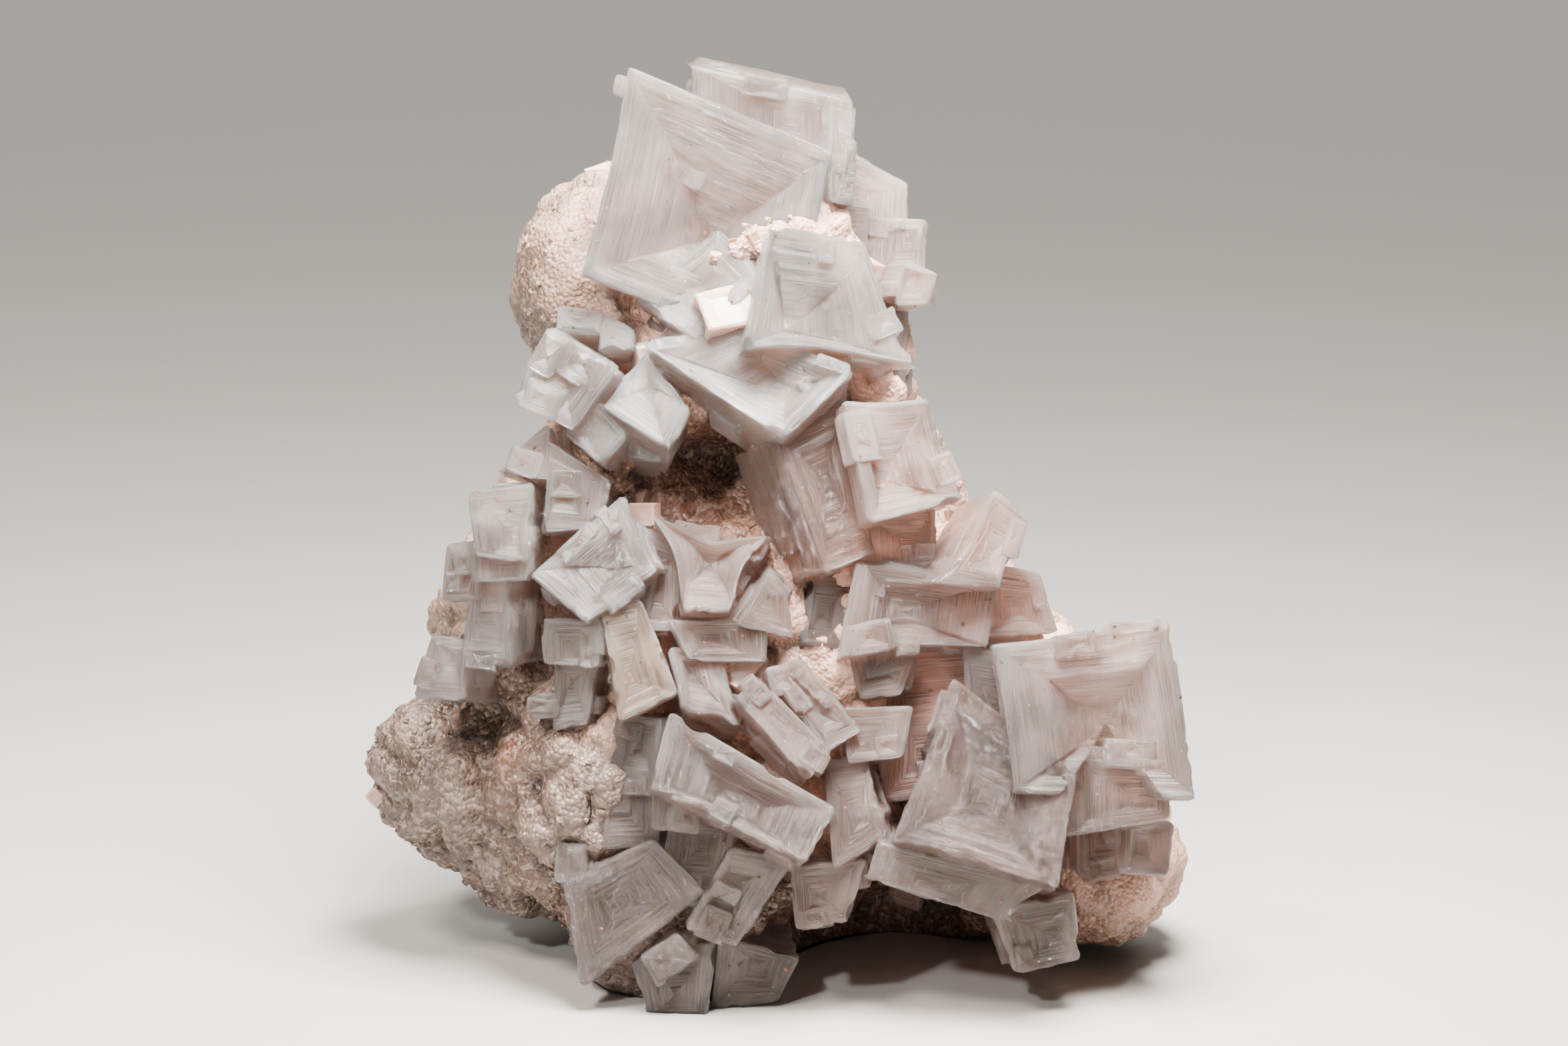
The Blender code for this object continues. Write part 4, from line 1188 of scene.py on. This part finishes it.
def mud_and_low_shade_strength(points):
    """Grey clay: patches on the left-hand lumps, and painted shade low down on all but the right-hand end."""
    strength = 0.8 * spot_strength(points, (-31, 4, 70), 9) + 0.9 * spot_strength(points, (-31, -9, 12), 13)
    strength += 0.35 * smooth_step((-points[:, 0] - 16.0) / 12.0) * (0.5 + soft_noise(points, 5.0, 23))
    # Painted shade: darker towards the bottom.
    strength += 0.75 * smooth_step((42.0 - points[:, 2]) / 20.0) * smooth_step((30.0 - points[:, 0]) / 10.0)
    return np.clip(strength, 0.0, 0.85)


def add_hopper_cube():
    """A small cube with a sunken centre in each face, to be copied."""
    deselect_all()
    bpy.ops.mesh.primitive_cube_add(size=1.0)
    cube = bpy.context.object
    bpy.ops.object.mode_set(mode="EDIT")
    bpy.ops.mesh.select_mode(type="FACE")
    bpy.ops.mesh.select_all(action="SELECT")
    bpy.ops.mesh.inset(thickness=0.16, use_individual=True)
    bpy.ops.mesh.inset(thickness=0.06, depth=-0.07, use_individual=True)
    bpy.ops.object.mode_set(mode="OBJECT")
    return cube


def add_worn_block():
    """A block with worn edges and a sunken middle to each face, to be copied."""
    deselect_all()
    bpy.ops.mesh.primitive_cube_add(size=1.0)
    block = bpy.context.object
    bpy.ops.object.mode_set(mode="EDIT")
    bpy.ops.mesh.select_mode(type="FACE")
    bpy.ops.mesh.select_all(action="SELECT")
    bpy.ops.mesh.bevel(offset=0.05, affect="EDGES")
    bpy.ops.mesh.select_all(action="DESELECT")
    bm = bmesh.from_edit_mesh(block.data)
    for face in bm.faces:
        face.select = face.calc_area() > 0.5
    bmesh.update_edit_mesh(block.data)
    bpy.ops.mesh.inset(thickness=0.2, depth=-0.03, use_individual=True)
    bpy.ops.object.mode_set(mode="OBJECT")
    return block


def add_plain_grain():
    """A salt grain: a cube with its corners cut off, to be copied."""
    deselect_all()
    bpy.ops.mesh.primitive_cube_add(size=1.0)
    grain = bpy.context.object
    bpy.ops.object.mode_set(mode="EDIT")
    bpy.ops.mesh.select_all(action="DESELECT")
    bm = bmesh.from_edit_mesh(grain.data)
    for vert in bm.verts:
        vert.select = vert.co.x > 0 and vert.co.y > 0 and vert.co.z > 0
    bmesh.update_edit_mesh(grain.data)
    bpy.ops.mesh.bevel(offset=0.3, affect="VERTICES")
    bpy.ops.object.mode_set(mode="OBJECT")
    return grain


def random_turns(rng, count, spread=None):
    """Random rotation matrices, from unit quaternions: any turn, or about a spread in radians."""
    w, x, y, z = rng.normal(size=(count, 4)).T
    if spread:
        w, x, y, z = np.ones(count), x * spread / 2, y * spread / 2, z * spread / 2
    length = np.sqrt(w * w + x * x + y * y + z * z)
    w, x, y, z = w / length, x / length, y / length, z / length
    rows = ((1 - 2 * (y * y + z * z), 2 * (x * y - z * w), 2 * (x * z + y * w)),
            (2 * (x * y + z * w), 1 - 2 * (x * x + z * z), 2 * (y * z - x * w)),
            (2 * (x * z - y * w), 2 * (y * z + x * w), 1 - 2 * (x * x + y * y)))
    return np.moveaxis(np.array(rows), -1, 0)


def copy_many(template, name, spots, sizes, turns, jitter, rng):
    """One mesh of many copies of a template, each of its own size, turn and slight misshape."""
    shape = read_points(template.data)
    faces = [list(face.vertices) for face in template.data.polygons]
    count = len(spots)
    grown = shape[None] * (sizes[:, None, :] * (1.0 + jitter * rng.normal(size=(count, len(shape), 3))))
    placed = np.einsum("nij,nkj->nki", turns, grown) + spots[:, None, :]
    placed[:, :, 2] = np.maximum(placed[:, :, 2], 0.0)
    mesh = bpy.data.meshes.new(name)
    offsets = np.arange(count) * len(shape)
    all_faces = [[corner + offset for corner in face] for offset in offsets for face in faces]
    mesh.from_pydata(placed.reshape(-1, 3) * MM, [], all_faces)
    piece = bpy.data.objects.new(name, mesh)
    bpy.context.scene.collection.objects.link(piece)
    remove_things([template])
    return piece


def pick_spots(points, weights, count, rng):
    """Choose that many points, the likelier the greater their weight."""
    return rng.choice(len(points), size=count, replace=False, p=weights / weights.sum())


def surface_trees(pieces):
    """A search tree over each piece's surface."""
    graph = bpy.context.evaluated_depsgraph_get()
    return [BVHTree.FromObject(piece, graph) for piece in pieces]


def are_outside(points, trees):
    """Whether each point in mm lies outside every one of the surfaces."""
    outside = np.ones(len(points), bool)
    for number, point in enumerate(points):
        for tree in trees:
            place, normal, _face, _distance = tree.find_nearest(Vector(point) * MM)
            if (Vector(point) * MM - place).dot(normal) < 0.0:
                outside[number] = False
                break
    return outside


def druse_weights(points, normals):
    """Where small cubes grow: thickly on the right and behind the top, thinly elsewhere, none below."""
    x, y, z = points.T
    weights = 0.12 + 0.9 * smooth_step((x + 4.0) / 14.0) + 1.2 * smooth_step((z - 72.0) / 12.0) * (x > -12)
    weights += 0.7 * smooth_step((y - 6.0) / 12.0)
    weights *= np.where(z > 4.0, 1.0, 0.0) * np.clip(1.1 + normals[:, 2], 0.2, 1.0)
    weights *= np.where((x < -14.0) & (y < 14.0), 0.02, 1.0) * np.where((z > 70.0) & (y < 2.0), 0.15, 1.0)
    return weights * np.where(pebble_noise(points, 7.0, 31) > 0.55, 1.0, 0.25)


def field_weights(points, normals):
    """Where larger blocks grow: on the front between the crystals, but not in the hollows or on the bare crust."""
    x, y, z = points.T
    weights = smooth_step((-0.1 - normals[:, 1]) / 0.4) * smooth_step((-y + 4.0) / 6.0)
    weights *= smooth_step((z - 10.0) / 8.0) * np.where(x > 22.0, 0.4, 1.0)
    for centre, radius in BARE_SPOTS:
        weights = weights * (1.0 - smooth_step(2.0 * spot_strength(points, centre, radius)))
    return weights


# ---------------------------------------------------------------------------------------------------
# Dust and lint
# ---------------------------------------------------------------------------------------------------


def upward_front_spots(pieces, count, rng):
    """Random visible spots on the crystals' faces that look up or forwards, with their normals."""
    trees = surface_trees(pieces)
    low, high = CAD_BOX
    spots = []
    normals = []
    while len(spots) < count:
        start = Vector((rng.uniform(low[0], high[0]), low[1] - 0.02, rng.uniform(low[2], high[2])))
        way = Vector((0.0, 1.0, -rng.uniform(0.0, 0.9)))
        start.z += way.z * -0.03
        hits = [tree.ray_cast(start, way.normalized()) for tree in trees]
        hits = [hit for hit in hits if hit[0] is not None]
        if not hits:
            continue
        place, normal, _face, _distance = min(hits, key=lambda hit: hit[3])
        if normal.z < -0.15 or normal.dot(way) > -0.15:
            continue
        spots.append(place / MM)
        normals.append(normal)
    return np.array(spots), np.array(normals)


def turns_onto(normals, rng):
    """Rotation matrices that lay a grain's Z on each normal, spun at random."""
    helper = rng.normal(size=normals.shape)
    first = np.cross(helper, normals)
    first /= np.linalg.norm(first, axis=1)[:, None]
    second = np.cross(normals, first)
    return np.stack((first, second, normals), axis=2)


def add_fibre(start, normal, rng):
    """A thin curled fibre lying on a face, as a curve."""
    data = bpy.data.curves.new("fibre", "CURVE")
    data.dimensions = "3D"
    data.bevel_depth = 0.022 * MM
    data.bevel_resolution = 1
    data.resolution_u = 3
    data.use_fill_caps = True
    spline = data.splines.new("BEZIER")
    count = 5
    spline.bezier_points.add(count - 1)
    heading = np.cross(normal, rng.normal(size=3))
    heading /= np.linalg.norm(heading)
    place = np.array(start) + np.array(normal) * 0.08
    for point in spline.bezier_points:
        point.co = place * MM
        point.handle_left_type = "AUTO"
        point.handle_right_type = "AUTO"
        turn = np.cross(normal, heading)
        heading = heading + turn * rng.normal() * 0.9
        heading /= np.linalg.norm(heading)
        place = place + heading * rng.uniform(0.25, 0.6) + np.array(normal) * rng.normal() * 0.05
    fibre = bpy.data.objects.new("fibre", data)
    bpy.context.scene.collection.objects.link(fibre)
    return fibre


# ---------------------------------------------------------------------------------------------------
# Operators
# ---------------------------------------------------------------------------------------------------


class HALITE_OT_crown(bpy.types.Operator):
    """Add the crown: the wide hopper at the top with the white blocks behind it"""

    bl_idname = "halite.crown"
    bl_label = "Crown"

    def execute(self, context):
        add_crystal_group("crown_crystals", CROWN, ice_salt(), 1)
        return {"FINISHED"}


class HALITE_OT_upper_front(bpy.types.Operator):
    """Add the fan of hoppers under the crown"""

    bl_idname = "halite.upper_front"
    bl_label = "Upper Front"

    def execute(self, context):
        add_crystal_group("upper_front_crystals", UPPER_FRONT, ice_salt(), 2)
        return {"FINISHED"}


class HALITE_OT_upper_right(bpy.types.Operator):
    """Add the pink blocks on the upper right"""

    bl_idname = "halite.upper_right"
    bl_label = "Upper Right"

    def execute(self, context):
        add_crystal_group("upper_right_druse", UPPER_RIGHT, blush_salt(), 3)
        return {"FINISHED"}


class HALITE_OT_upper_left(bpy.types.Operator):
    """Add the block on the upper left and the peach slabs below it"""

    bl_idname = "halite.upper_left"
    bl_label = "Upper Left"

    def execute(self, context):
        add_crystal_group("upper_left_crystals", UPPER_LEFT, ice_salt(), 4)
        add_crystal_group("peach_slabs", PEACH_SLABS, blush_salt(), 5)
        return {"FINISHED"}


class HALITE_OT_left(bpy.types.Operator):
    """Add the clear crystal on the left and the corner crystals beside it"""

    bl_idname = "halite.left"
    bl_label = "Left"

    def execute(self, context):
        add_crystal_group("left_clear_crystal", LEFT, ice_salt(), 6)
        add_crystal_group("left_corner_crystals", LEFT_CORNER, ice_salt(), 7)
        return {"FINISHED"}


class HALITE_OT_right_middle(bpy.types.Operator):
    """Add the leaning hopper right of the middle and the horn below it"""

    bl_idname = "halite.right_middle"
    bl_label = "Right Middle"

    def execute(self, context):
        add_crystal_group("right_middle_crystals", RIGHT_MIDDLE, blush_salt(), 8)
        add_crystal_group("horn_crystals", HORN, blush_salt(), 9)
        return {"FINISHED"}


class HALITE_OT_centre(bpy.types.Operator):
    """Add the fan in the centre and the small blocks below it"""

    bl_idname = "halite.centre"
    bl_label = "Centre"

    def execute(self, context):
        add_crystal_group("centre_crystals", CENTRE, blush_salt(), 10)
        add_crystal_group("middle_blocks", MIDDLE_BLOCKS, blush_salt(), 11)
        return {"FINISHED"}


class HALITE_OT_lower_hoppers(bpy.types.Operator):
    """Add the big hopper on the right, the wide one beside it and the bar-shaped one"""

    bl_idname = "halite.lower_hoppers"
    bl_label = "Lower Hoppers"

    def execute(self, context):
        add_crystal_group("big_right_hopper", BIG_RIGHT, ice_salt(), 12)
        add_crystal_group(None, SALMON_WALL, salmon_salt(), 18, "salmon_wall")
        add_crystal_group("lower_right_hopper", LOWER_RIGHT, ice_salt(), 13)
        add_crystal_group("bar_hopper", BAR, ice_salt(), 14)
        add_crystal_group("yellow_block", YELLOW_BLOCK, honey_salt(), 15)
        return {"FINISHED"}


class HALITE_OT_feet(bpy.types.Operator):
    """Add the crystals at the foot of the cluster"""

    bl_idname = "halite.feet"
    bl_label = "Feet"

    def execute(self, context):
        add_crystal_group("bottom_crystals", BOTTOM, ice_salt(), 16)
        add_crystal_group("foot_crystals", FEET, ice_salt(), 17)
        return {"FINISHED"}


class HALITE_OT_crust(bpy.types.Operator):
    """Add the granular crust that carries the crystals, with its small cubes and grains"""

    bl_idname = "halite.crust"
    bl_label = "Crust"

    def execute(self, context):
        sizes = context.scene.halite_sizes
        rng = np.random.default_rng(5)
        crust = model_crust(sizes)
        roughen_crust(crust, sizes)
        select_only(crust)
        bpy.ops.object.shade_smooth()
        finish_piece(crust, "granular_crust", "matrix", salt_crust())
        points = read_points(crust.data) / MM
        normals = read_normals(crust.data)
        crystals = surface_trees(thing for thing in context.scene.objects if thing.name.endswith("_salt"))

        chosen = pick_spots(points, druse_weights(points, normals), sizes.druse_count, rng)
        chosen = chosen[are_outside(points[chosen], crystals)]
        cube_sizes = (0.9 + 3.2 * rng.random(len(chosen)) ** 2.2)[:, None] * rng.uniform(0.8, 1.15, (len(chosen), 3))
        spots = points[chosen] - normals[chosen] * cube_sizes[:, :1] * 0.18
        druse = copy_many(add_hopper_cube(), "small_cubes", spots, cube_sizes,
                          random_turns(rng, len(chosen)), 0.03, rng)
        finish_piece(druse, "small_cubes", None, sugary_salt())

        chosen = pick_spots(points, field_weights(points, normals), sizes.block_count, rng)
        chosen = chosen[are_outside(points[chosen], crystals)]
        block_sizes = (1.8 + 3.0 * rng.random(len(chosen)))[:, None] * rng.uniform(0.7, 1.4, (len(chosen), 3))
        spots = points[chosen] - normals[chosen] * block_sizes[:, :1] * 0.2
        turns = np.array(LEAN) @ random_turns(rng, len(chosen), 0.5)
        blocks = copy_many(add_worn_block(), "field_blocks", spots, block_sizes, turns, 0.04, rng)
        finish_piece(blocks, "field_blocks", None, sugary_salt())

        grain_weights = np.where(points[:, 2] > 0.5, 1.0, 0.0)
        chosen = pick_spots(points, grain_weights, sizes.grain_count, rng)
        chosen = chosen[are_outside(points[chosen], crystals)]
        grain_sizes = rng.uniform(0.3, 0.7, len(chosen))[:, None] * rng.uniform(0.75, 1.2, (len(chosen), 3))
        spots = points[chosen] - normals[chosen] * grain_sizes[:, :1] * 0.2
        grains = copy_many(add_plain_grain(), "salt_grains", spots, grain_sizes,
                           random_turns(rng, len(chosen)), 0.05, rng)
        places = read_points(grains.data) / MM
        colour_crust(grains.data, places, np.zeros(len(places)))
        finish_piece(grains, "salt_grains", None, crust.data.materials[0])
        return {"FINISHED"}


class HALITE_OT_dust(bpy.types.Operator):
    """Add the dust specks and the lint caught on the crystals"""

    bl_idname = "halite.dust"
    bl_label = "Dust and Lint"

    def execute(self, context):
        sizes = context.scene.halite_sizes
        rng = np.random.default_rng(11)
        pieces = [thing for thing in context.scene.objects if thing.name.endswith("_salt")]
        if not pieces:
            raise RuntimeError("the dust lies on the crystals: add them first")
        spots, normals = upward_front_spots(pieces, sizes.dust_count, rng)
        speck_sizes = (0.1 + 0.26 * rng.random(len(spots)) ** 3)[:, None] * rng.uniform(0.7, 1.3, (len(spots), 3))
        speck_sizes[:, 2] *= 0.6
        deselect_all()
        bpy.ops.mesh.primitive_ico_sphere_add(subdivisions=1, radius=0.7)
        specks = copy_many(bpy.context.object, "dust_specks", spots, speck_sizes, turns_onto(normals, rng),
                           0.12, rng)
        finish_piece(specks, "dust_specks", None, field_dust())

        spots, normals = upward_front_spots(pieces, sizes.lint_count, rng)
        fibres = [add_fibre(spot, normal, rng) for spot, normal in zip(spots, normals)]
        select_only(*fibres)
        bpy.ops.object.convert(target="MESH")
        bpy.ops.object.join()
        finish_piece(bpy.context.object, "lint_fibres", None, cotton_lint())
        return {"FINISHED"}


class HALITE_OT_stage(bpy.types.Operator):
    """Add the studio: a pale floor, soft lights and the camera"""

    bl_idname = "halite.stage"
    bl_label = "Studio"

    def execute(self, context):
        add_floor()
        add_soft_light("key_light", (-0.18, -0.24, 0.42), (0.0, -0.01, 0.05), 0.1, 3.8, 0xFFF6EE)
        add_soft_light("fill_light", (0.35, -0.6, 0.25), (0.0, 0.0, 0.05), 0.5, 0.3, 0xFFF4EC)
        add_soft_light("top_light", (0.02, -0.05, 0.215), (0.0, -0.01, 0.05), 0.1, 5.4, 0xFFFAF6)
        add_soft_light("glint_light", (-0.20, -0.42, 0.36), (0.0, -0.01, 0.05), 0.035, 2.4, 0xFFFFFF)
        add_soft_light("backdrop_light", (0.0, 1.7, 1.7), (0.0, 2.1, 0.0), 2.6, 60.0, 0xFFFCFA)
        add_world()
        add_camera()
        return {"FINISHED"}


def add_floor():
    """A wide matt floor, painted plain."""
    deselect_all()
    bpy.ops.mesh.primitive_plane_add(size=8.0)
    floor = bpy.context.object
    floor.name = "studio_floor"
    material, tree, shader = new_material("matt_painted_board")
    place = add_node(tree, "ShaderNodeTexCoord").outputs["Object"]
    grain = add_node(tree, "ShaderNodeTexNoise", {"Scale": 900.0}, {"Vector": place})
    bump = add_node(tree, "ShaderNodeBump", {"Strength": 0.05, "Distance": 0.1 * MM},
                    {"Height": grain.outputs["Fac"]})
    tree.links.new(bump.outputs[0], shader.inputs["Normal"])
    shader.inputs["Base Color"].default_value = colour(bpy.context.scene.halite_colours.floor)
    shader.inputs["Roughness"].default_value = 0.75
    floor.data.materials.append(material)


def aim(thing, target):
    """Turn an object's -Z to a target."""
    way = Vector(target) - thing.location
    thing.rotation_euler = way.to_track_quat("-Z", "Y").to_euler()


def add_soft_light(name, place, target, size, power, code):
    """A square soft box aimed at the cluster."""
    data = bpy.data.lights.new(name, "AREA")
    data.energy = power
    data.size = size
    data.color = linear(code)
    light = bpy.data.objects.new(name, data)
    light.location = place
    aim(light, target)
    bpy.context.scene.collection.objects.link(light)


def add_world():
    """Even, pale light from all round."""
    world = bpy.data.worlds.new("studio")
    world.use_nodes = True
    background = world.node_tree.nodes["Background"]
    background.inputs["Color"].default_value = colour(linear(0xF0EFEE))
    background.inputs["Strength"].default_value = 0.04
    bpy.context.scene.world = world


def add_camera():
    """A long lens looking 12 degrees down at the leaning frame's centre."""
    data = bpy.data.cameras.new("camera")
    data.lens = 100.0
    data.sensor_width = 36.0
    data.clip_start = 0.01
    camera = bpy.data.objects.new("camera", data)
    lean = math.radians(FRONT_LEAN)
    ahead = Vector((0.0, math.cos(lean), -math.sin(lean)))
    camera.location = (Vector(FRAME_CENTRE) - ahead * 466.29) * MM
    camera.rotation_euler = (math.radians(90.0) - lean, 0.0, 0.0)
    bpy.context.scene.collection.objects.link(camera)
    bpy.context.scene.camera = camera


PIECE_OPERATORS = (
    HALITE_OT_crown,
    HALITE_OT_upper_front,
    HALITE_OT_upper_right,
    HALITE_OT_upper_left,
    HALITE_OT_left,
    HALITE_OT_right_middle,
    HALITE_OT_centre,
    HALITE_OT_lower_hoppers,
    HALITE_OT_feet,
    HALITE_OT_crust,
    HALITE_OT_dust,
    HALITE_OT_stage,
)


class HALITE_PT_panel(bpy.types.Panel):
    """The halite cluster's pieces and what can be changed on them"""

    bl_idname = "HALITE_PT_panel"
    bl_label = "Halite Cluster"
    bl_space_type = "VIEW_3D"
    bl_region_type = "UI"
    bl_category = "Halite"

    def draw(self, context):
        for group in (context.scene.halite_sizes, context.scene.halite_colours):
            for name in group.bl_rna.properties.keys():
                if name not in ("rna_type", "name"):
                    self.layout.prop(group, name)
        for operator in PIECE_OPERATORS:
            self.layout.operator(operator.bl_idname)


CLASSES = (HaliteSizes, HaliteColours, *PIECE_OPERATORS, HALITE_PT_panel)


def register():
    """Register the classes and hang the settings on the scene."""
    for cls in CLASSES:
        bpy.utils.register_class(cls)
    bpy.types.Scene.halite_sizes = PointerProperty(type=HaliteSizes)
    bpy.types.Scene.halite_colours = PointerProperty(type=HaliteColours)


def unregister():
    """Undo what register did."""
    del bpy.types.Scene.halite_colours
    del bpy.types.Scene.halite_sizes
    for cls in reversed(CLASSES):
        bpy.utils.unregister_class(cls)


def main():
    """Add every piece and the studio."""
    register()
    for operator in PIECE_OPERATORS:
        family, name = operator.bl_idname.split(".")
        getattr(getattr(bpy.ops, family), name)()


if __name__ == "__main__":
    main()
